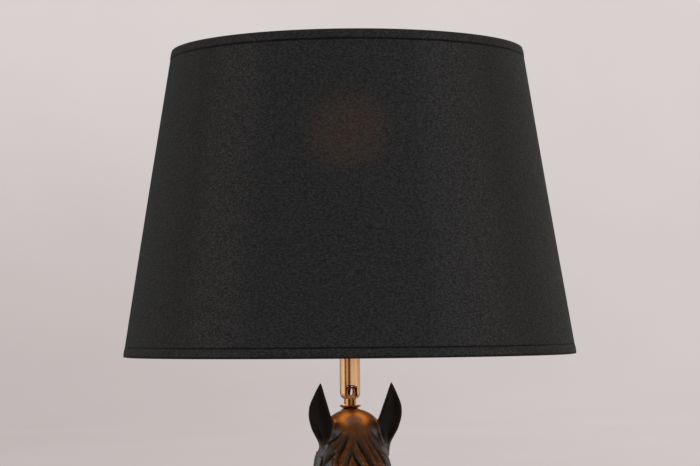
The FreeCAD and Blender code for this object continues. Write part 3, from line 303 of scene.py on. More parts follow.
def moulded(name, color, rough, grain_depth=0.00005, scale=900.0):
    """Moulded plastic or rubber with a fine spark-eroded grain."""
    paint = Paint(name)
    grain, cloudy = paint.noise(scale, 3, 0.6), paint.noise(30)
    tint = paint.mix(paint.span(cloudy, 0.3, 0.75), color, tuple(min(1, c * 1.35 + 0.002) for c in color))
    return paint.shade(Base_Color=tint, Roughness=paint.plus(rough, paint.times(grain, 0.12)),
                       Normal=paint.bump(grain, grain_depth, 0.5))


def fibrous(name, dark, light, scale=700.0):
    """Felt, fibre or hardboard: short tangled fibres."""
    paint = Paint(name)
    fibres = paint.noise(scale, 6, 0.75, distortion=1.5)
    tint = paint.mix(paint.span(fibres, 0.35, 0.65), dark, light)
    return paint.shade(Base_Color=tint, Roughness=0.95, Normal=paint.bump(fibres, 0.0004, 0.8), Sheen_Weight=0.3)


def opal():
    """The bulb's opal glass, lit from inside."""
    paint = Paint("opal")
    glow = paint.span(paint.z, 0.505, 0.545, 0.55, 1.0)
    return paint.shade(Base_Color=(0.9, 0.86, 0.78), Roughness=0.25, Emission_Color=(1.0, 0.50, 0.18),
                       Emission_Strength=paint.times(glow, 6.0))


def lining_sheet():
    """The laminated sheet inside the shade, with a painted glow for the bulb's light where the bulb is near.

    Its painted glow casts a deeper light than it shows, and less of it from its front,
    which the lamp's parts shadow.
    """
    paint = Paint("lining")
    around = paint.times(paint.span(paint.z, 0.492, 0.535), paint.span(paint.z, 0.560, 0.640, 1.0, 0.4))
    painted_cast_glow = paint.plus(0.1, paint.times(around, paint.span(paint.y, -0.13, 0.0, 0.14, 4.8)))
    soft = paint.span(paint.size(paint.less(paint.z, 0.545)), 0.02, 0.17, 1.1, 0.30)
    seen = paint.node("LightPath").outputs["Is Camera Ray"]
    strength = paint.math("MULTIPLY_ADD", seen, paint.less(soft, painted_cast_glow), painted_cast_glow)
    lit = paint.mix(seen, (1.0, 0.27, 0.008), (1.0, 0.46, 0.15))
    return paint.shade(Base_Color=(0.34, 0.27, 0.22), Roughness=0.45, Emission_Color=lit, Emission_Strength=strength,
                       Normal=paint.bump(paint.noise(300), 0.0001, 0.3))


def weave(paint, threads, height_threads):
    """How high the threads of a plain weave round Z stand where they cross over and under."""
    angle = paint.math("ARCTAN2", paint.x, paint.y)
    wobble = paint.times(paint.less(paint.noise(260), 0.5), 1.6)
    warp = paint.plus(paint.times(angle, threads), wobble)
    weft = paint.plus(paint.times(paint.z, height_threads), wobble)
    return paint.size(paint.times(paint.math("SINE", warp), paint.math("SINE", weft)))


def cloth(name, seams=()):
    """Black woven cloth laminated to a stiff sheet: plain weave, slubs, a soft sheen and painted glints.

    It is painted a little lighter where it faces the camera's side, a painted light, and has painted shadow lines
    along its seams' heights, where the hem tapes' edges stand off it. A faint warm patch of painted glow shows the
    lit bulb through it, seen from any side.
    """
    paint = Paint(name)
    over = weave(paint, 1900.0, 11000.0)
    slubs = paint.noise(520, 5, 0.65, paint.stretched(1.0, 1.0, 1.7))
    mottle = paint.noise(150, 4, 0.6)
    fuzz = paint.noise(640, 3, 0.6, paint.stretched(1.0, 1.0, 1.5))
    tint = paint.mix(paint.span(slubs, 0.36, 0.66), (0.0090, 0.0094, 0.0100), (0.0385, 0.0395, 0.0412))
    tint = paint.mix(paint.times(over, 0.40), tint, (0.0400, 0.0408, 0.0424))
    # Painted glints: sparkle in two upright bands, where the cloth faces 24.5 and -44 degrees round from the front.
    painted_glints = paint.plus(paint.span(paint.facing(24.5), 0.955, 0.990, 0.0, 0.13),
                        paint.span(paint.facing(-44.0), 0.962, 0.990, 0.0, 0.15))
    tint = paint.mix(paint.times(painted_glints, paint.span(fuzz, 0.48, 0.62)), tint, (0.215, 0.205, 0.200))
    # Painted light: cloth that faces the camera's side is made lighter and cooler.
    front = paint.span(paint.facing(CAMERA_AZIMUTH), 0.62, 0.97)
    tint = paint.mix(front, tint, (1.26, 1.34, 1.45), "MULTIPLY")
    # Painted shadow lines at the seams' heights, where the hem tapes' edges stand off the cloth.
    for level in seams:
        gap = paint.size(paint.less(paint.z, level))
        tint = paint.mix(paint.span(gap, 0.0004, 0.0011, 0.85, 0.0), tint, (0.001, 0.001, 0.001))
    rough = paint.less(0.66, paint.times(paint.span(slubs, 0.5, 0.8), 0.22))
    surface = paint.bump(mottle, 0.0009, 0.10)
    surface = paint.bump(slubs, 0.0009, 0.8, surface)
    surface = paint.bump(over, 0.00012, 0.5, surface)
    paint.shade(Base_Color=tint, Roughness=rough, Normal=surface, Sheen_Weight=0.012, Sheen_Roughness=0.5,
                Sheen_Tint=(1.0, 0.97, 0.95), Specular_IOR_Level=0.12)
    show_bulb_through(paint, over)
    return paint.material


def globe_middle():
    low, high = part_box("bulb_globe")
    return Vector((0, 0, high.z - (high.x - low.x) / 2))


def show_bulb_through(paint, over):
    """Paints a warm glow where the line of sight through the cloth passes the bulb's globe, for the bulb's light
    through it.
    """
    towards = paint.node("VectorMath", {0: tuple(globe_middle()), 1: paint.place}, operation="SUBTRACT").outputs[0]
    sight = paint.node("NewGeometry").outputs["Incoming"]
    off_axis = paint.node("VectorMath", {0: towards, 1: sight}, operation="CROSS_PRODUCT").outputs[0]
    distance = paint.node("VectorMath", {0: off_axis}, operation="LENGTH").outputs["Value"]
    soft = paint.span(distance, 0.012, 0.044, 1.0, 0.0)
    threads = paint.plus(0.55, paint.times(over, 0.45))
    strength = paint.times(soft, threads, paint.span(paint.z, 0.500, 0.516), 0.014)
    paint.shade(Emission_Color=(1.0, 0.47, 0.22), Emission_Strength=strength)


# ---- the horse's field ----

VOXEL = 1.0
LOW = np.array([-56.0, -152.0, 33.0])
HIGH = np.array([56.0, 106.0, 357.0])
X, Y, Z = (np.arange(LOW[i], HIGH[i] + VOXEL, VOXEL, dtype=np.float32) for i in range(3))
YY, ZZ = np.meshgrid(Y, Z, indexing="ij")
PLINTH_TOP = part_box("plinth")[1].z / MM
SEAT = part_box("swivel_cup")[0].z / MM
HEAD_LENGTH = 190.0
FACE_TOP = np.array([-38.0, 314.0])
PITCH = math.radians(28)
DOWN_FACE = np.array([-math.sin(PITCH), -math.cos(PITCH)])
INTO_HEAD = np.array([math.cos(PITCH), -math.sin(PITCH)])


def face_to_side(u, v):
    """A place on the head's side view, u down the face and v towards the jaw, as (y, z)."""
    u, v = np.asarray(u, float)[..., None], np.asarray(v, float)[..., None]
    return FACE_TOP + (DOWN_FACE * u + INTO_HEAD * v) * HEAD_LENGTH


UU = ((YY - FACE_TOP[0]) * DOWN_FACE[0] + (ZZ - FACE_TOP[1]) * DOWN_FACE[1]) / HEAD_LENGTH
VV = ((YY - FACE_TOP[0]) * INTO_HEAD[0] + (ZZ - FACE_TOP[1]) * INTO_HEAD[1]) / HEAD_LENGTH


def blend_min(a, b, width):
    """The lower of two fields, rounded off where they meet."""
    mixed = np.clip(0.5 + 0.5 * (b - a) / width, 0, 1)
    return b + (a - b) * mixed - width * mixed * (1 - mixed)


def blend_max(a, b, width):
    return -blend_min(-a, -b, width)


def near_line(a, b, across, up):
    """How far places lie from the line from a to b, and what share of its length they are along."""
    e = b - a
    share = np.clip(((across - a[0]) * e[0] + (up - a[1]) * e[1]) / (e @ e + 1e-9), 0, 1)
    return np.hypot(across - a[0] - share * e[0], up - a[1] - share * e[1]), share


def inside_distance(outline):
    """How far each (y, z) of the side view lies inside a closed outline; below 0 outside it."""
    loop = curve_through(np.vstack([outline, outline[:1]]), 8)
    nearest = np.full(YY.shape, 1e9)
    inside = np.zeros(YY.shape, bool)
    for a, b in zip(loop[:-1], loop[1:]):
        nearest = np.minimum(nearest, near_line(a, b, YY, ZZ)[0])
        crosses = (a[1] > ZZ) != (b[1] > ZZ)
        rise = b[1] - a[1]
        inside ^= crosses & (YY < a[0] + (b[0] - a[0]) * (ZZ - a[1]) / (rise if abs(rise) > 1e-9 else 1e-9))
    return nearest * np.where(inside, 1, -1)


def rounded_slab(depth, edge, half_width):
    """The field of a body this wide whose rim is round over edge."""
    rise = 1 - np.minimum(depth / edge, 1)
    across = (np.abs(X)[:, None, None] / half_width[None]) ** 2
    field = (np.sqrt(across + rise[None] ** 2) - 1) * np.minimum(half_width, edge)[None]
    return field.astype(np.float32)


def ridge(points, width, height):
    """A raised line, or a groove where height is below 0, along a side-view path."""
    line = curve_through(points, 6)
    nearest = np.min([near_line(a, b, YY, ZZ)[0] for a, b in zip(line[:-1], line[1:])], 0)
    return height * np.exp(-(nearest / width) ** 2)


def mound(centre, radii, height, turn=0.0):
    """A soft rise round a side-view place."""
    y, z = YY - centre[0], ZZ - centre[1]
    c, s = math.cos(turn), math.sin(turn)
    return height * np.exp(-((y * c + z * s) / radii[0]) ** 2 - ((z * c - y * s) / radii[1]) ** 2)


def plateau(centre, radii, height, edge):
    """A raised flat with a soft edge."""
    reach = np.hypot((YY - centre[0]) / radii[0], (ZZ - centre[1]) / radii[1])
    return height / (1 + np.exp(np.clip((reach - 1) / edge, -30, 30)))


def on_face(u, v):
    return face_to_side(u, v).reshape(-1, 2)


def neck():
    """The arched neck and chest, with the groove of the throat and the muscles over the shoulder."""
    outline = np.array([
        (-43, 26), (-40, 44), (-33, 70), (-27, 105), (-22, 140), (-17, 178), (-13, 212), (-10, 245),
        (-15, 275), (-20, 300), (-12, 320), (6, 327), (26, 324), (45, 312), (62, 293), (76, 268), (85, 238),
        (90, 205), (91, 170), (89, 135), (85, 100), (81, 70), (80, 46), (82, 26),
    ], float)
    depth = inside_distance(outline)
    width = table_curve(ZZ, [26, 40, 52, 75, 110, 150, 190, 230, 262, 292, 325],
                        [53, 50, 46, 41, 35.5, 31, 28, 26, 24.5, 21.0, 17.0])
    muscles = [([(-8, 205), (-12, 160), (-18, 115), (-26, 60)], 6.5, -2.6),
               ([(2, 212), (6, 165), (4, 120), (-4, 70)], 10, 1.8),
               ([(34, 262), (44, 210), (46, 150), (40, 90)], 9, -1.4)]
    width = width + sum(ridge(*muscle) for muscle in muscles)
    width = width + mound((30, 62), (30, 26), 3.0)
    width = width - 5.0 * np.clip((YY - 55) / 40, 0, 1)
    return rounded_slab(depth, 34.0, width)


def head():
    """The head's bones and muscles as a relief on both sides of its middle."""
    outline = on_face(
        [-0.06, 0.00, 0.08, 0.20, 0.32, 0.45, 0.60, 0.74, 0.85, 0.93, 0.985, 1.00, 0.990, 0.975, 0.94, 0.88, 0.82,
         0.72, 0.60, 0.50, 0.42, 0.33, 0.23, 0.13, 0.05, -0.02, -0.07],
        [0.060, 0.012, -0.006, -0.014, -0.008, 0.006, 0.010, 0.002, -0.012, -0.006, 0.030, 0.070, 0.105, 0.140,
         0.185, 0.200, 0.185, 0.198, 0.242, 0.298, 0.358, 0.404, 0.420, 0.400, 0.340, 0.250, 0.150])
    depth = inside_distance(outline)
    width = table_curve(UU, [-0.06, 0.0, 0.08, 0.16, 0.25, 0.33, 0.42, 0.50, 0.60, 0.70, 0.80, 0.88, 0.95, 1.02],
                        [20, 23, 25, 26.5, 28.5, 28, 25, 21.5, 17.8, 15.6, 15.8, 17.5, 16.0, 12.5])
    thin_jaw = np.clip((VV - 0.12) / 0.18, 0, 1) * np.clip((UU - 0.42) / 0.12, 0, 1)
    width = width * (1 - 0.34 * thin_jaw)
    edge = table_curve(UU, [-0.06, 0.3, 0.5, 0.7, 0.9, 1.02], [25, 25, 20, 16, 15, 12])
    width = width + plateau(on_face(0.275, 0.295)[0], (25.0, 27.0), 3.4, 0.09)
    mounds = [(0.63, 0.100, (20, 6), -2.8, 1.08), (0.16, 0.100, (9, 9), -3.2, 0), (0.895, 0.060, (11, 9), 3.6, 0),
              (0.950, 0.085, (7, 9), 1.6, 0), (0.900, 0.172, (9, 7), 2.4, 0)]
    for u, v, radii, height, turn in mounds:
        width = width + mound(on_face(u, v)[0], radii, height, turn)
    ridges = [([0.37, 0.47, 0.60], [0.178, 0.160, 0.140], 3.4, 3.0),
              ([0.40, 0.58, 0.76], [0.050, 0.042, 0.032], 4.0, 1.8),
              ([1.02, 0.95, 0.88, 0.825], [0.116, 0.122, 0.134, 0.130], 1.5, -3.4),
              ([0.80, 0.70, 0.60], [0.150, 0.170, 0.200], 3.0, -1.2),
              ([0.47, 0.55, 0.66], [0.215, 0.190, 0.165], 3.0, -1.4)]
    for u, v, broad, height in ridges:
        width = width + ridge(on_face(u, v), broad, height)
    return rounded_slab(depth, edge, np.maximum(width, 4))


def block_of(low, high):
    """The part of the grid that a box touches: its slices, and its X, Y and Z as a grid."""
    first = np.clip(np.floor((low - LOW) / VOXEL).astype(int), 0, None)
    last = np.ceil((high - LOW) / VOXEL).astype(int) + 1
    cut = tuple(slice(a, b) for a, b in zip(first, last))
    return cut, (X[cut[0]][:, None, None], Y[cut[1]][None, :, None], Z[cut[2]][None, None, :])


def add_bar(field, a, b, radius_a, radius_b, blend):
    """Adds a round bar whose radius changes from one end to the other."""
    reach = max(radius_a, radius_b) + blend + 2 * VOXEL
    cut, (x, y, z) = block_of(np.minimum(a, b) - reach, np.maximum(a, b) + reach)
    e = b - a
    share = ((x - a[0]) * e[0] + (y - a[1]) * e[1] + (z - a[2]) * e[2]) / max(e @ e, 1e-9)
    share = np.clip(share, 0, 1)
    away = np.sqrt((x - a[0] - share * e[0]) ** 2 + (y - a[1] - share * e[1]) ** 2 + (z - a[2] - share * e[2]) ** 2)
    field[cut] = blend_min(field[cut], away - radius_a - share * (radius_b - radius_a), blend)


def add_strand(field, path, radii, blend=1.2):
    for a, b, radius_a, radius_b in zip(path[:-1], path[1:], radii[:-1], radii[1:]):
        add_bar(field, a, b, radius_a, radius_b, blend)


def add_lock(field, path, across, width, strands, thickness):
    """A lock of hair along a path: strands side by side that draw together to a point."""
    share = np.linspace(0, 1, len(path))
    body = np.sin(math.pi * np.clip(share * 0.78 + 0.14, 0, 1)) ** 0.7
    for number in range(strands):
        offset = (number - (strands - 1) / 2) / max(strands - 1, 1)
        spread = offset * width * body * (1 - share ** 3)
        twist = thickness * 0.35 * math.cos(number * 2.1) * np.sin(share * 5 + number)
        lane = path + across * spread[:, None]
        lane[:, 0] += np.sign(path[-1, 0]) * twist * 0.5
        radii = thickness * (1 - 0.75 * share ** 2.2) * (0.85 + 0.15 * math.cos(number * 3.7))
        add_strand(field, lane, radii)


def read_map(surface, first, second, low_first, low_second):
    """Reads a surface map between its grid points."""
    f = np.clip((np.asarray(first, float) - low_first) / VOXEL, 0, surface.shape[0] - 1.001)
    g = np.clip((np.asarray(second, float) - low_second) / VOXEL, 0, surface.shape[1] - 1.001)
    i, j = f.astype(int), g.astype(int)
    f, g = f - i, g - j
    return (surface[i, j] * (1 - f) * (1 - g) + surface[i + 1, j] * f * (1 - g)
            + surface[i, j + 1] * (1 - f) * g + surface[i + 1, j + 1] * f * g)


def softened(surface, reach):
    """A surface map with its steps rounded off."""
    for _ in range(reach):
        padded = np.pad(surface, 1, mode="edge")
        surface = (padded[:-2, 1:-1] + padded[2:, 1:-1] + padded[1:-1, :-2] + padded[1:-1, 2:]
                   + 2 * padded[1:-1, 1:-1]) / 6
    return surface


class Skin:
    """Where the bare surface lies: from the front, as y by (x, z), and from the side, as x by (y, z)."""

    def __init__(self, field):
        solid = field < 0
        reach = int(3 / VOXEL)
        self.front = softened(np.where(solid.any(1), Y[np.argmax(solid, 1)], 20.0), reach)
        half = solid[len(X) // 2:]
        last = half.shape[0] - 1 - np.argmax(half[::-1], 0)
        self.side = softened(np.where(half.any(0), X[len(X) // 2:][last], 0.0), reach)

    def front_y(self, x, z):
        return read_map(self.front, x, z, LOW[0], LOW[2])

    def side_x(self, y, z):
        return read_map(self.side, y, z, LOW[1], LOW[2])


def add_mane(field, skin):
    """Locks that fall from the crest down both sides of the neck."""
    crest = curve_through([(20, 318), (36, 314), (52, 300), (67, 282), (78, 260), (85, 232), (88, 200), (88, 166),
                           (85, 130), (81, 96)], 6)
    for hand in (-1, 1):
        for number in range(26):
            root = crest[int((number + 0.5 * (hand > 0)) / 26.5 * (len(crest) - 1))]
            steep = np.clip((root[1] - 250) / 70, 0, 1)
            length = chance.uniform(50, 78) * (1.0 - 0.25 * steep)
            drop = np.array([chance.uniform(-30, -20) * (1 - steep) + chance.uniform(-16, -4) * steep, -length])
            wave = chance.uniform(4, 8) * (1 if number % 2 else -1)
            share = np.linspace(0, 1, 15)
            place = root + np.outer(share ** 0.9, drop)
            place[:, 0] += wave * np.sin(share * 5.4 + chance.uniform(0, 1.2)) * share
            stand = skin.side_x(place[:, 0], place[:, 1])
            stand = np.maximum(stand, 2.0) - 0.6 + 1.8 * np.sin(math.pi * share) * (1 - 0.7 * steep)
            path = np.column_stack([hand * stand, place])
            add_lock(field, path, sideways(path, (hand, 0, 0)), chance.uniform(8, 11), 4, chance.uniform(2.3, 2.9))


def sideways(path, outward):
    """The directions across a path that lies on a surface facing outward."""
    across = np.cross(np.gradient(path, axis=0), outward)
    return across / np.linalg.norm(across, axis=1)[:, None]


def add_forelock(field, skin):
    """The free ends of the forelock's locks, which fan over the forehead to both sides."""
    levels = [302.0, 294.5, 286.5]
    # Each lock's place across the face at those levels, then at its end, the level of its end, width and thickness.
    locks = [
        (-19.0, -24.2, -27.4, -29.0, 272.0, 4.5, 2.3),
        (-14.8, -19.6, -22.8, -26.0, 258.0, 6.0, 2.6),
        (-10.2, -13.2, -15.6, -19.5, 242.0, 4.6, 2.5),
        (-5.6, -8.0, -11.0, -12.5, 224.0, 3.6, 2.4),
        (-2.6, -0.6, 2.9, 2.0, 214.0, 5.0, 2.6),
        (5.0, 8.6, 12.2, 11.0, 224.0, 5.6, 2.7),
        (9.0, 13.0, 17.0, 18.5, 238.0, 4.6, 2.5),
        (14.0, 18.4, 22.4, 23.5, 252.0, 4.6, 2.5),
        (18.0, 21.5, 26.0, 29.0, 268.0, 4.6, 2.3),
    ]
    for *across_at, end_across, end_level, width, thickness in locks:
        middle = ((across_at[-1] + end_across) / 2 + 1.6 * np.sign(end_across), (levels[-1] + end_level) / 2)
        knots = list(zip(across_at, levels)) + [middle, (end_across, end_level)]
        line = curve_through(knots, 4)
        x, z = line[:, 0], line[:, 1]
        share = np.linspace(0, 1, len(line))
        lift = -3.4 + 5.2 * np.clip((296 - z) / 12, 0, 1) - 1.6 * share ** 3
        path = np.column_stack([x, skin.front_y(x, z) - lift, z])
        outward = np.column_stack([x * 0.035, np.full(len(x), -1.0), np.full(len(x), 0.3)])
        across = sideways(path, outward)
        add_lock(field, path, across * np.sign(across[:, :1]), width, 3, thickness)


# The grooves between the forelock's locks on the forehead: across the face, height and depth along each.
# The depth also sets how dark each groove's painted shade is.
GROOVES = [
    [(-13.5, 311.5, 0.4), (-18.5, 306.5, 1.3), (-22.6, 300.5, 1.3), (-26.0, 293.0, 0.9), (-28.0, 286.0, 0.3)],
    [(-14.8, 300.2, 0.0), (-18.0, 296.8, 1.2), (-22.5, 292.6, 1.1), (-25.6, 288.0, 0.7), (-27.5, 281.0, 0.2)],
    [(-7.4, 312.0, 0.0), (-9.1, 307.9, 1.3), (-11.6, 303.2, 2.3), (-14.0, 298.9, 2.6), (-16.1, 294.0, 1.9),
     (-17.8, 287.0, 1.4), (-19.5, 279.0, 0.6)],
    [(-6.2, 300.0, 0.0), (-7.2, 296.0, 1.2), (-9.4, 291.2, 1.8), (-12.5, 286.0, 1.6), (-15.0, 279.0, 0.6)],
    [(-5.6, 300.0, 0.0), (-5.0, 296.8, 1.6), (-3.8, 292.2, 2.0), (-1.2, 287.0, 1.9), (1.5, 280.0, 0.9)],
    [(-2.2, 308.5, 0.0), (-0.8, 304.6, 1.4), (1.4, 300.2, 2.3), (3.6, 296.2, 2.7), (6.2, 290.5, 2.6),
     (8.6, 284.5, 1.8), (11.0, 277.0, 0.6)],
    [(8.2, 309.8, 0.2), (11.1, 303.4, 1.3), (13.6, 299.5, 1.8), (16.2, 294.8, 2.1), (19.3, 288.0, 1.8),
     (21.5, 281.0, 0.7)],
    [(12.0, 312.5, 0.4), (15.6, 307.5, 1.1), (18.8, 301.0, 1.2), (21.6, 294.0, 1.0), (24.8, 286.0, 0.5)],
    [(-11.2, 309.5, 0.1), (-15.5, 303.0, 0.7), (-18.8, 298.6, 0.4)],
    [(-3.4, 306.0, 0.0), (-5.0, 300.5, 0.6), (-6.4, 296.0, 0.3)],
    [(4.0, 309.0, 0.1), (7.4, 301.5, 0.8), (10.2, 295.0, 0.8), (13.4, 287.0, 0.6)],
    [(-9.4, 301.0, 0.1), (-12.2, 295.5, 0.8), (-14.6, 289.0, 0.7)],
    [(-1.4, 300.0, 0.0), (0.6, 295.0, 0.7), (3.6, 288.0, 0.7)],
]
# Where the combed forelock ends to the left and to the right: heights, and places across the face.
FORELOCK_EDGES = [([286, 293, 300.5, 306.5, 311.5, 316], [-29, -27, -23.6, -19.5, -14.5, -8]),
                  ([286, 294, 301, 307.5, 312.5, 316], [26.5, 23.0, 19.8, 16.6, 12.8, 8])]


def comb(thing):
    """Sinks the forelock's grooves, and marks for the material the hair, the ears and painted shade in grooves and
    hollows.
    """
    mesh = thing.data
    count = len(mesh.vertices)
    place, facing = np.empty(count * 3, np.float32), np.empty(count * 3, np.float32)
    mesh.vertices.foreach_get("co", place)
    mesh.vertex_normals.foreach_get("vector", facing)
    place, facing = place.reshape(-1, 3) / MM, facing.reshape(-1, 3)
    marks = {name: np.zeros(count, np.float32) for name in MARKS}
    for hand in (-1, 1):
        near = np.nonzero((hand * place[:, 0] > 10) & (place[:, 2] > 296) & (place[:, 1] < -4))[0]
        x, y, z = place[near].T
        marks["ear"][near] = np.clip((1.2 - ear_blade(x, y, z, hand)) / 1.2, 0, 1) * np.clip((z - 300) / 9, 0, 1)
    near = np.nonzero((facing[:, 1] < -0.05) & (place[:, 1] < -14) & (place[:, 2] > 270) & (place[:, 2] < 316)
                      & (np.abs(place[:, 0]) < 32))[0]
    x, y, z = place[near].T
    left, right = (np.interp(z, *edge) for edge in FORELOCK_EDGES)
    inside = np.clip((x - left) / 1.6, 0, 1) * np.clip((right - x) / 1.6, 0, 1)
    inside = inside * np.clip((-facing[near, 1] - 0.05) / 0.3, 0, 1)
    rise = 1.5 * np.clip((314 - z) / 9, 0, 1) * np.clip((z - 276) / 10, 0, 1)
    sunk, shadow = np.zeros(len(near)), np.zeros(len(near))
    for groove in GROOVES:
        line = curve_through(groove, 5)
        for a, b in zip(line[:-1], line[1:]):
            away, share = near_line(a[:2], b[:2], x, z)
            depth = np.maximum(a[2] + share * (b[2] - a[2]), 0)
            width = 0.7 + 0.36 * depth
            sunk = np.maximum(sunk, depth * np.exp(-(away / width) ** 2))
            shadow = np.maximum(shadow, np.clip(depth / 1.4, 0, 1) * np.exp(-(away / (width * 0.8)) ** 2))
    place[near] += facing[near] * (inside * (rise - sunk * 1.15))[:, None]
    # Painted shade in two hollows at the ears' feet, beside the forelock.
    painted_hollow_shade = np.exp(-((np.abs(x) - 17.5) / 2.6) ** 2 - ((z - 310) / 3.2) ** 2)
    marks["groove"][near] = np.maximum(inside * shadow, 0.9 * painted_hollow_shade)
    marks["across"][near] = (x - left) / (right - left)
    marks["hair"][near] = inside * np.clip((316 - z) / 8, 0, 1)
    mesh.vertices.foreach_set("co", (place * MM).ravel())
    for name, values in marks.items():
        mesh.attributes.new(name, "FLOAT", "POINT").data.foreach_set("value", values)
    mesh.update()
    return thing


def add_side_hair(field, skin):
    """Locks that hang behind the cheeks from under the ears."""
    for hand in (-1, 1):
        for number in range(6):
            back = -17 + 6.5 * number
            inward = 0.16 * max(back + 8, 0)
            middle = [(18, back + 3, 318), (22.6, back + 1, 304), (27.2, back, 284), (29.0, back + 3, 264),
                      (28.0, back + 9, 240 - 3 * number), (24.5, back + 12, 216 - 3 * number)]
            path = curve_through(np.array(middle) - (inward, 0, 0), 4)
            share = np.linspace(0, 1, len(path))
            path[:, 1] += 2.0 * np.sin(share * 5 + number)
            stand = skin.side_x(path[:, 1], path[:, 2])
            path[:, 0] = np.where(path[:, 2] < 262, np.minimum(path[:, 0], stand + 1.5), path[:, 0])
            path[:, 0] *= hand
            add_lock(field, path, sideways(path, (hand, 0, 0)), 7.5, 4, 2.2)


EAR_LEVELS = [296, 300, 304.5, 309, 314, 318, 322.5, 327.5, 334, 341.4, 347, 351.2]
EAR_MIDDLE = [24.4, 24.4, 24.3, 24.3, 25.0, 25.8, 27.1, 28.2, 28.8, 28.5, 28.0, 27.6]
EAR_WIDTH = [3.0, 3.2, 4.2, 6.5, 8.5, 9.1, 9.0, 8.4, 7.0, 4.3, 2.1, 0.3]
EAR_BACK = [-20, -21, -22, -23, -23.8, -24.4, -25.2, -26.2, -27.6, -29.2, -30.2, -31]
EAR_THICKNESS = [4.5, 5.0, 5.6, 6.2, 6.4, 6.3, 6.0, 5.4, 4.5, 3.2, 2.0, 0.6]


def ear_section(z):
    """An ear's middle, width, thickness and place from front to back at a height."""
    return (table_curve(z, EAR_LEVELS, table) for table in (EAR_MIDDLE, EAR_WIDTH, EAR_THICKNESS, EAR_BACK))


def ear_blade(x, y, z, hand):
    """The distance from an ear's unhollowed leaf."""
    middle, width, thick, back = ear_section(z)
    middle = middle * hand
    around = np.sqrt(((x - middle) / width) ** 2 + ((y - back) / thick) ** 2) - 1
    return around * np.minimum(width, thick) + np.maximum(z - EAR_LEVELS[-1], 0)


def ear(field, hand):
    """A leaf of an ear, hollowed a little in front, with a straighter inner edge and its tip turned in."""
    cut, (x, y, z) = block_of(np.array([10.0 if hand > 0 else -44.0, -46, 294]),
                              np.array([44.0 if hand > 0 else -10.0, -4, 355]))
    outer = ear_blade(x, y, z, hand)
    middle, width, thick, back = ear_section(z)
    scoop = np.sqrt(np.clip(1 - ((z - 325.0) / 23.0) ** 2, 0, 1))
    scoop_width = np.maximum((width - 1.3) * scoop, 0.05)
    scoop_depth = np.maximum(thick * 0.95 * scoop, 0.05)
    reach = np.sqrt(((x - (middle + 0.4) * hand) / scoop_width) ** 2 + ((y - back + thick) / scoop_depth) ** 2)
    inner = (reach - 1) * np.minimum(width, thick)
    field[cut] = blend_min(field[cut], blend_max(outer, -inner, 1.6), 2.2)


def ball(field, centre, radii, blend, cut_away=False):
    """Adds a stretched ball, or takes it away."""
    centre, radii = np.asarray(centre, float), np.asarray(radii, float)
    cut, (x, y, z) = block_of(centre - radii - blend - 2 * VOXEL, centre + radii + blend + 2 * VOXEL)
    reach = np.sqrt(((x - centre[0]) / radii[0]) ** 2 + ((y - centre[1]) / radii[1]) ** 2
                    + ((z - centre[2]) / radii[2]) ** 2)
    shape = (reach - 1) * radii.min()
    field[cut] = blend_max(field[cut], -shape, blend) if cut_away else blend_min(field[cut], shape, blend)


def eye(field, hand):
    """An eyeball in its socket, between two lids, under the ridge of the brow."""
    place = on_face(0.292, 0.132)[0]
    centre = np.array([hand * 21.8, *place])
    ball(field, centre + (hand * 11.5, 0, 0), (9.5, 12.5, 12.0), 3.0, cut_away=True)
    tilt = PITCH - 0.35
    along = np.array([-math.sin(tilt), -math.cos(tilt)])
    above = np.array([-math.cos(tilt), math.sin(tilt)])
    cut, (x, y, z) = block_of(centre - 15, centre + 15)
    away = np.sqrt((x - centre[0]) ** 2 + (y - centre[1]) ** 2 + (z - centre[2]) ** 2)
    s = (y - centre[1]) * along[0] + (z - centre[2]) * along[1]
    w = (y - centre[1]) * above[0] + (z - centre[2]) * above[1]
    opening = np.abs(w + 0.4) - 4.7 * (1 - (s / 9.4) ** 2)
    lids = np.maximum(away - 10.6, -opening)
    field[cut] = blend_min(field[cut], lids, 1.6)
    field[cut] = blend_min(field[cut], away - 8.9, 0.5)
    for lift, out, thick, reach in ((8.6, 7.6, 2.7, 12.0), (-8.4, 6.4, 1.7, 10.0)):
        arc = np.linspace(-1, 1, 9)
        side_view = np.outer(arc * reach, along) + np.outer(lift * (1 - 0.45 * arc ** 2), above)
        path = np.column_stack([centre[0] + hand * (out - 2.2 * arc ** 2), centre[1:] + side_view])
        add_strand(field, path, thick * (1 - 0.5 * arc ** 2), 3.0)


def nostril(field, hand, skin):
    """A comma-shaped nostril with a raised rim."""
    rim = on_face([0.872, 0.880, 0.900, 0.918, 0.921], [0.040, 0.024, 0.022, 0.038, 0.058])
    stand = skin.side_x(rim[:, 0], rim[:, 1])
    add_strand(field, np.column_stack([hand * (stand - 0.3), rim]), np.array([1.2, 1.7, 1.9, 1.7, 1.0]), 2.0)
    hole = on_face([0.884, 0.897, 0.908], [0.044, 0.040, 0.054])
    stand = skin.side_x(hole[:, 0], hole[:, 1])
    for place, out, radius in zip(hole, stand, (3.2, 3.4, 2.6)):
        ball(field, (hand * (out + 0.5), *place), (5.0, radius, radius * 1.15), 1.2, cut_away=True)


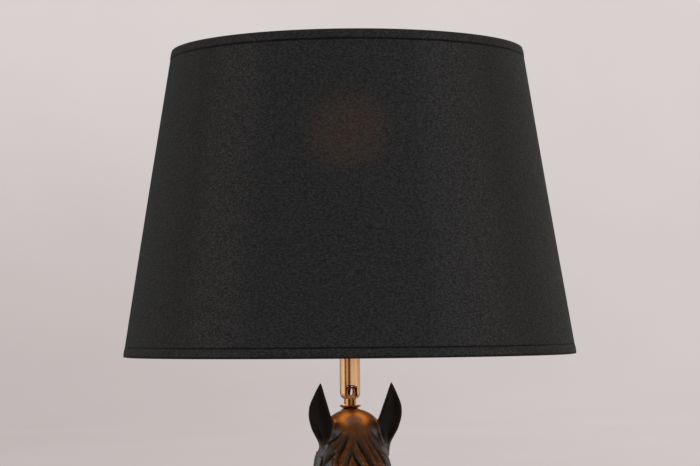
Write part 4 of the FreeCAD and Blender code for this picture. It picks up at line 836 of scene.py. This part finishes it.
def horse_field():
    field = blend_min(neck(), head(), 3.5)
    ball(field, (0, -11, 309.6), (23.6, 30.0, 20.6), 4.0)
    skin = Skin(field)
    for hand in (-1, 1):
        eye(field, hand)
        nostril(field, hand, skin)
    add_mane(field, skin)
    add_side_hair(field, skin)
    add_forelock(field, skin)
    for hand in (-1, 1):
        ear(field, hand)
    cut, (x, y, z) = block_of(np.array([-16.0, -16, SEAT - 8]), np.array([16.0, 16, SEAT + 8]))
    across = np.sqrt(x ** 2 + y ** 2)
    boss = np.maximum(across - 6.0, z - SEAT)
    field[cut] = np.maximum(blend_min(field[cut], boss, 4.0), np.where(across < 14, z - SEAT, -9))
    limit = np.interp(Z, [255, 262, 275, 285, 290, 300, 303, 308, 312], [60, 35, 32.2, 30, 29.2, 26.2, 25.4, 28, 60])
    beyond = np.abs(X)[:, None, None] + 0.148 * Y[None, :, None] - limit[None, None, :]
    beyond = np.where(Y[None, :, None] > -14, beyond, beyond - 3 * (-14 - Y[None, :, None]))
    field[:] = blend_max(field, beyond, 1.5)
    field[:] = np.maximum(field, (PLINTH_TOP - 0.1 - Z)[None, None, :])
    for edge in (field[0], field[-1], field[:, 0], field[:, -1], field[:, :, 0], field[:, :, -1]):
        edge[:] = 5.0
    return field


def field_mesh(name, field, material):
    """Meshes the field's zero surface, then relaxes it a little."""
    grid = openvdb.FloatGrid(5.0)
    grid.copyFromArray(np.ascontiguousarray(field, dtype=np.float32))
    points, triangles, quads = grid.convertToPolygons(0.0, 0.0)
    points = (LOW + points * VOXEL) * MM
    faces = quads.tolist() + triangles.tolist()
    thing = mesh_object(name, points, faces, material)
    relax = thing.modifiers.new("relax", "SMOOTH")
    relax.factor, relax.iterations = 0.5, 2
    evaluated = thing.evaluated_get(bpy.context.evaluated_depsgraph_get())
    mesh = bpy.data.meshes.new_from_object(evaluated)
    thing.modifiers.clear()
    thing.data = mesh
    mesh.name = name
    return thing


# ---- the shade ----


SHADE_LOW, SHADE_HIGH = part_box("shade_fabric")
TOP_RADIUS = max(math.hypot(v.co.x, v.co.y) for v in frame["nodes"]["shade_fabric"].data.vertices
                 if v.co.z > SHADE_HIGH.z - MM)


def shade_share(height):
    """How far up the cloth a height is, from 0 to 1."""
    return (height - SHADE_LOW.z) / (SHADE_HIGH.z - SHADE_LOW.z)


def shade_radius(height):
    """The radius of the cloth's outside at a height, from the frame's cloth node."""
    return SHADE_HIGH.x + (TOP_RADIUS - SHADE_HIGH.x) * shade_share(height)


def cloth_ripple(angle, radius, height):
    """The cloth isn't a perfect cone: it bows a little between its rings and ripples where it is glued."""
    share = shade_share(height)
    free = np.sin(math.pi * np.clip(share, 0, 1))
    wave = sum(size * np.sin(count * angle + turn + lean * share)
               for size, count, turn, lean in ((0.22, 3, 0.4, 1.0), (0.16, 7, 2.1, -2.0), (0.10, 13, 4.0, 3.0),
                                               (0.05, 29, 1.2, 5.0)))
    return radius + wave * free * MM, height


def sheet(name, node, material, gap, thickness, rows, inner_step, turns):
    """A thin sheet all round the shade in a node's place, this gap inside the cloth's outside, both in mm."""
    low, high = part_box(node)
    outside = [(shade_radius(z) - gap * MM, z) for z in np.linspace(low.z, high.z, rows)]
    inside = [(radius - thickness * MM, z) for radius, z in reversed(outside[::inner_step])]
    return lathe(name, outside + inside, turns, material, cloth_ripple)


def tape(name, node, sign, material):
    """The turned tape at one edge: over the outside, round the ring and a little way back up inside.

    sign is 1 at the bottom edge, where the tape goes up, and -1 at the top.
    """
    low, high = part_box(node)
    edge, end = (low.z, high.z) if sign > 0 else (high.z, low.z)
    outer, inner, turned_in, thickness = 0.30 * MM, 4.4 * MM, 3.0 * MM, 0.38 * MM
    fold = (outer + inner) / 2
    straight = abs(end - edge) - fold
    profile = [(outer * (1 - 0.9 * share ** 8), edge + sign * (straight * share + fold))
               for share in np.linspace(1, 0, 7)]
    profile += [(outer - fold + fold * math.cos(turn), edge + sign * fold * (1 - 0.98 * math.sin(turn)))
                for turn in np.linspace(0, math.pi, 11)[1:-1]]
    profile += [(-inner, edge + sign * (fold + turned_in * share)) for share in np.linspace(0, 1, 3)]
    skin = []
    for index, (out, z) in enumerate(profile):
        before, after = profile[max(index - 1, 0)], profile[min(index + 1, len(profile) - 1)]
        way = Vector((after[0] - before[0], after[1] - before[1])).normalized()
        skin.append((out + sign * way.y * thickness, z - sign * way.x * thickness))
    section = [(shade_radius(z) + out, z) for out, z in profile + skin[::-1]]

    def pucker(angle, radius, height):
        near_fold = np.exp(-((height - edge) / (2.6 * MM)) ** 2)
        pleat = np.sin(151 * angle + 2.0 * np.sin(7 * angle)) * np.sin(37 * angle + 1.0)
        wander = 0.10 * np.sin(23 * angle) + 0.08 * np.sin(61 * angle + 2)
        near_end = np.exp(-((height - end) / (1.6 * MM)) ** 2)
        return radius + (0.05 * pleat * near_fold) * MM, height + wander * near_end * MM

    return lathe(name, section, 720, material, pucker)


# ---- the leads through the swivel ----


def cord_bridge(material):
    """The cord's two leads above the swivel's eye, which bend over into the stem's cord, and the sleeve on the stem
    over them.
    """
    pivot = next(joint for joint in frame["joints"] if joint["name"] == "stem_tilt")["pos_m"][2] / MM
    eye_top, sleeve_foot, sleeve_top = pivot + 2.6, pivot + 4.65, pivot + 9.0
    radius, turns = 0.95, 16
    angles = np.linspace(0, 2 * math.pi, turns, endpoint=False)
    sides = [(k, (k + 1) % turns) for k in range(turns)]
    pieces = []
    for side in (-1, 1):
        line = curve_through([(-0.45, side, eye_top), (-0.35, side, pivot + 4.4), (0, side * 1.1, pivot + 6.5),
                              (0, side * 1.2, sleeve_top)], 6)
        points = [(x + radius * math.cos(a), y + radius * math.sin(a), z) for x, y, z in line for a in angles]
        points += [tuple(line[0]), tuple(line[-1])]
        last = (len(line) - 1) * turns
        faces = [(r + k, r + beside, r + turns + beside, r + turns + k)
                 for r in range(0, last, turns) for k, beside in sides]
        faces += [(beside, k, last + turns) for k, beside in sides]
        faces += [(last + k, last + beside, last + turns + 1) for k, beside in sides]
        lead = mesh_object("lead_%s" % ("front" if side < 0 else "back"), np.array(points) * MM, faces, material)
        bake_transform(lead)
        pieces.append(lead)
    profile = [(0.0005, sleeve_top), (1.9, sleeve_top), (2.3, pivot + 8.4), (2.3, pivot + 5.0), (2.1, sleeve_foot),
               (0.0005, sleeve_foot)]
    sleeve = lathe("lead_sleeve", np.array(profile) * MM, 32, material)
    sleeve.data.transform(Matrix.Diagonal((1.55, 0.95, 1.0, 1.0)))
    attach(sleeve, "stem")
    return pieces + [sleeve]


# ---- put together ----


def stand_in(piece, node, body):
    """Puts a piece on its body in a frame node's place."""
    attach(piece, body)
    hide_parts(node)


def dress():
    """Makes the pieces, and gives every frame node that stays its material."""
    resin_skin, black_cloth, glow = resin(), cloth("black_cloth"), lining_sheet()
    # The heights of the painted shadow lines under the hem tapes' edges.
    hem_levels = [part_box("top_hem")[0].z - 0.0004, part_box("bottom_hem")[1].z + 0.0004]
    seam_shadowed = cloth("black_cloth_seamed", hem_levels)
    sheath = moulded("cord_sheath", (0.010, 0.010, 0.010), 0.32, 0.00003, 1500)
    finishes = {
        "resin": resin_skin,
        "shade_cloth": black_cloth,
        "lining": glow,
        "cord": sheath,
        "copper": copper(),
        "opal": opal(),
        "brass": metal("brass", (0.80, 0.58, 0.26), 0.22),
        "steel": metal("steel", (0.62, 0.62, 0.63), 0.30),
        "aluminium": metal("aluminium", (0.80, 0.80, 0.81), 0.24),
        "iron": moulded("iron", (0.03, 0.03, 0.032), 0.55, 0.0003, 260),
        "board": fibrous("board", (0.05, 0.032, 0.02), (0.11, 0.075, 0.05)),
        "felt": fibrous("felt", (0.006, 0.006, 0.006), (0.02, 0.02, 0.021)),
        "fibre": fibrous("fibre", (0.10, 0.075, 0.05), (0.22, 0.17, 0.12), 1200),
        "black_plastic": moulded("black_plastic", (0.012, 0.012, 0.012), 0.38),
        "white_plastic": moulded("white_plastic", (0.78, 0.77, 0.74), 0.35),
        "white_metal": moulded("white_paint", (0.72, 0.71, 0.69), 0.30, 0.00008, 500),
    }
    own = {"swivel_tongue": block_copper()}
    slots = {row["node"]: row["material_slot"] for row in frame["record"]["subparts"]}
    for name, node in frame["nodes"].items():
        node.data.materials.clear()
        node.data.materials.append(own.get(name, finishes[slots[name]]))

    stand_in(comb(field_mesh("horse", horse_field(), resin_skin)), "horse_bust", "base")
    stand_in(sheet("cloth", "shade_fabric", seam_shadowed, gap=0, thickness=0.55, rows=56, inner_step=11, turns=420),
             "shade_fabric", "shade")
    stand_in(sheet("lining", "shade_lining", glow, gap=0.62, thickness=0.45, rows=8, inner_step=1, turns=300),
             "shade_lining", "shade")
    stand_in(tape("top_tape", "top_hem", -1, black_cloth), "top_hem", "shade")
    stand_in(tape("bottom_tape", "bottom_hem", 1, black_cloth), "bottom_hem", "shade")
    for lead in cord_bridge(sheath):
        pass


# ---- the studio ----

CAMERA_DISTANCE = 1.699
CAMERA_HEIGHT = 0.395
CAMERA_PITCH = 2.458
CAMERA_LENS = 110.8
CAMERA_ASIDE = 0.034
CAMERA_ROLL = -0.522


def camera():
    """Looks a little to the right of the lamp's axis, and leans half a degree."""
    data = bpy.data.cameras.new("camera")
    data.lens, data.sensor_width = CAMERA_LENS, 36
    data.clip_end = 60
    thing = bpy.data.objects.new("camera", data)
    turn = math.radians(CAMERA_AZIMUTH)
    heading = Matrix.Rotation(turn - math.radians(CAMERA_ASIDE), 3, "Z")
    pitch = Matrix.Rotation(math.radians(90 + CAMERA_PITCH), 3, "X")
    thing.rotation_euler = (heading @ pitch @ Matrix.Rotation(math.radians(CAMERA_ROLL), 3, "Z")).to_euler()
    thing.location = (math.sin(turn) * CAMERA_DISTANCE, -math.cos(turn) * CAMERA_DISTANCE, CAMERA_HEIGHT)
    bpy.context.scene.collection.objects.link(thing)
    bpy.context.scene.camera = thing


def backdrop():
    """A floor that curves up into a pale wall all round the lamp, seen by the camera only."""
    floor, wall, top = 7.0, 9.0, 7.0  # where the floor ends and the wall stands, from Z, and the wall's height
    bend = [(floor + (wall - floor) * math.sin(t), (wall - floor) * (1 - math.cos(t)))
            for t in np.linspace(0, math.pi / 2, 14)]
    profile = [(0.0001, 0.0), (1.0, 0.0), (3.0, 0.0)] + bend + [(wall, top)]
    paint = Paint("backdrop")
    away = paint.math("SQRT", paint.plus(paint.times(paint.x, paint.x), paint.times(paint.y, paint.y)))
    turn = math.radians(CAMERA_AZIMUTH)
    # Painted light: the wall's glow is darker to the left and low down, as the studio's light falls on it.
    across = paint.span(paint.dot(paint.place, (math.cos(turn), math.sin(turn), 0)), -1.7, 1.7)
    lower_painted_light = paint.mix(across, (0.535, 0.474, 0.469), (0.635, 0.584, 0.574))
    upper_painted_light = paint.mix(across, (0.690, 0.645, 0.632), (0.700, 0.645, 0.632))
    tone = paint.mix(paint.span(paint.z, -0.1, 2.1), lower_painted_light, upper_painted_light)
    mottle = paint.span(paint.noise(1.4, 6, 0.6), 0.3, 0.7, 0.985, 1.012)
    tone = paint.mix(1.0, tone, paint.node("CombineColor", {0: mottle, 1: mottle, 2: mottle}).outputs[0], "MULTIPLY")
    lit = paint.span(away, 1.2, 4.0)
    paint.shade(Base_Color=paint.mix(lit, (0.66, 0.62, 0.61), (0, 0, 0)), Roughness=1.0, Specular_IOR_Level=0.0,
                Emission_Color=tone, Emission_Strength=lit)
    made = lathe("backdrop", profile, 96, paint.material, closed=False)
    made.visible_diffuse = made.visible_glossy = made.visible_shadow = False
    made.visible_transmission = False


def surroundings():
    """The studio round the lamp, as brightness by direction: soft boxes at the sides, and dark gaps between them."""
    world = bpy.data.worlds.new("studio")
    bpy.context.scene.world = world
    world.use_nodes = True
    world.node_tree.nodes.clear()
    sky = Nodes(world.node_tree)
    x, y, z = sky.parts(sky.node("TexCoord").outputs["Generated"])
    turn = sky.math("ARCTAN2", x, sky.times(y, -1.0))
    around = sky.node("ValToRGB", {0: sky.span(turn, -math.pi, math.pi, kind="LINEAR")})
    # Brightness and warmth against the direction's angle from the camera's, in degrees; below 0 is to the left.
    tones = [(-180, 0.50, 0), (-130, 0.60, 0), (-105, 0.70, 0), (-82, 0.84, 0), (-67, 0.74, 0), (-60, 0.04, 1),
             (-51, 0.04, 1), (-40, 0.62, 0.8), (-25, 0.60, 0.8), (-15, 0.03, 1), (-4, 0.03, 1), (9, 0.55, 0.2),
             (22, 0.66, 0), (50, 0.64, 0.1), (74, 0.84, 0.25), (92, 0.64, 0.3), (125, 0.50, 0.2)]
    stops = around.color_ramp.elements
    spare = list(stops)
    for angle, tone, warmth in tones:
        stop = stops.new((angle + CAMERA_AZIMUTH + 180) % 360 / 360)
        stop.color = (tone, tone * (1 - 0.38 * warmth), tone * (1 - 0.70 * warmth), 1)
    for stop in spare[1:]:
        stops.remove(stop)
    up = sky.span(z, -0.6, 0.9, 0.40, 1.90, "LINEAR")
    overhead = sky.span(z, 0.88, 0.97, 1.0, 0.15, "LINEAR")
    background = sky.node("Background", {"Color": around.outputs[0], "Strength": sky.times(up, overhead)})
    sky.node("OutputWorld", {0: background.outputs[0]})


def bulb_light():
    """The bulb's own light, warm, in the middle of the globe."""
    data = bpy.data.lights.new("bulb_light", "POINT")
    data.energy, data.color = 0.6, (1.0, 0.36, 0.06)
    data.shadow_soft_size = 0.02
    thing = bpy.data.objects.new("bulb_light", data)
    thing.location = globe_middle()
    thing.parent = frame["bodies"]["bulb"]
    bpy.context.scene.collection.objects.link(thing)


def look():
    """How the picture is developed."""
    scene = bpy.context.scene
    scene.view_settings.view_transform = "Standard"
    scene.cycles.max_bounces = 6
    scene.cycles.diffuse_bounces = 3
    scene.cycles.glossy_bounces = 4
    scene.cycles.sample_clamp_indirect = 4.0
    scene.cycles.caustics_reflective = False
    scene.cycles.caustics_refractive = False


dress()
camera()
backdrop()
surroundings()
bulb_light()
look()
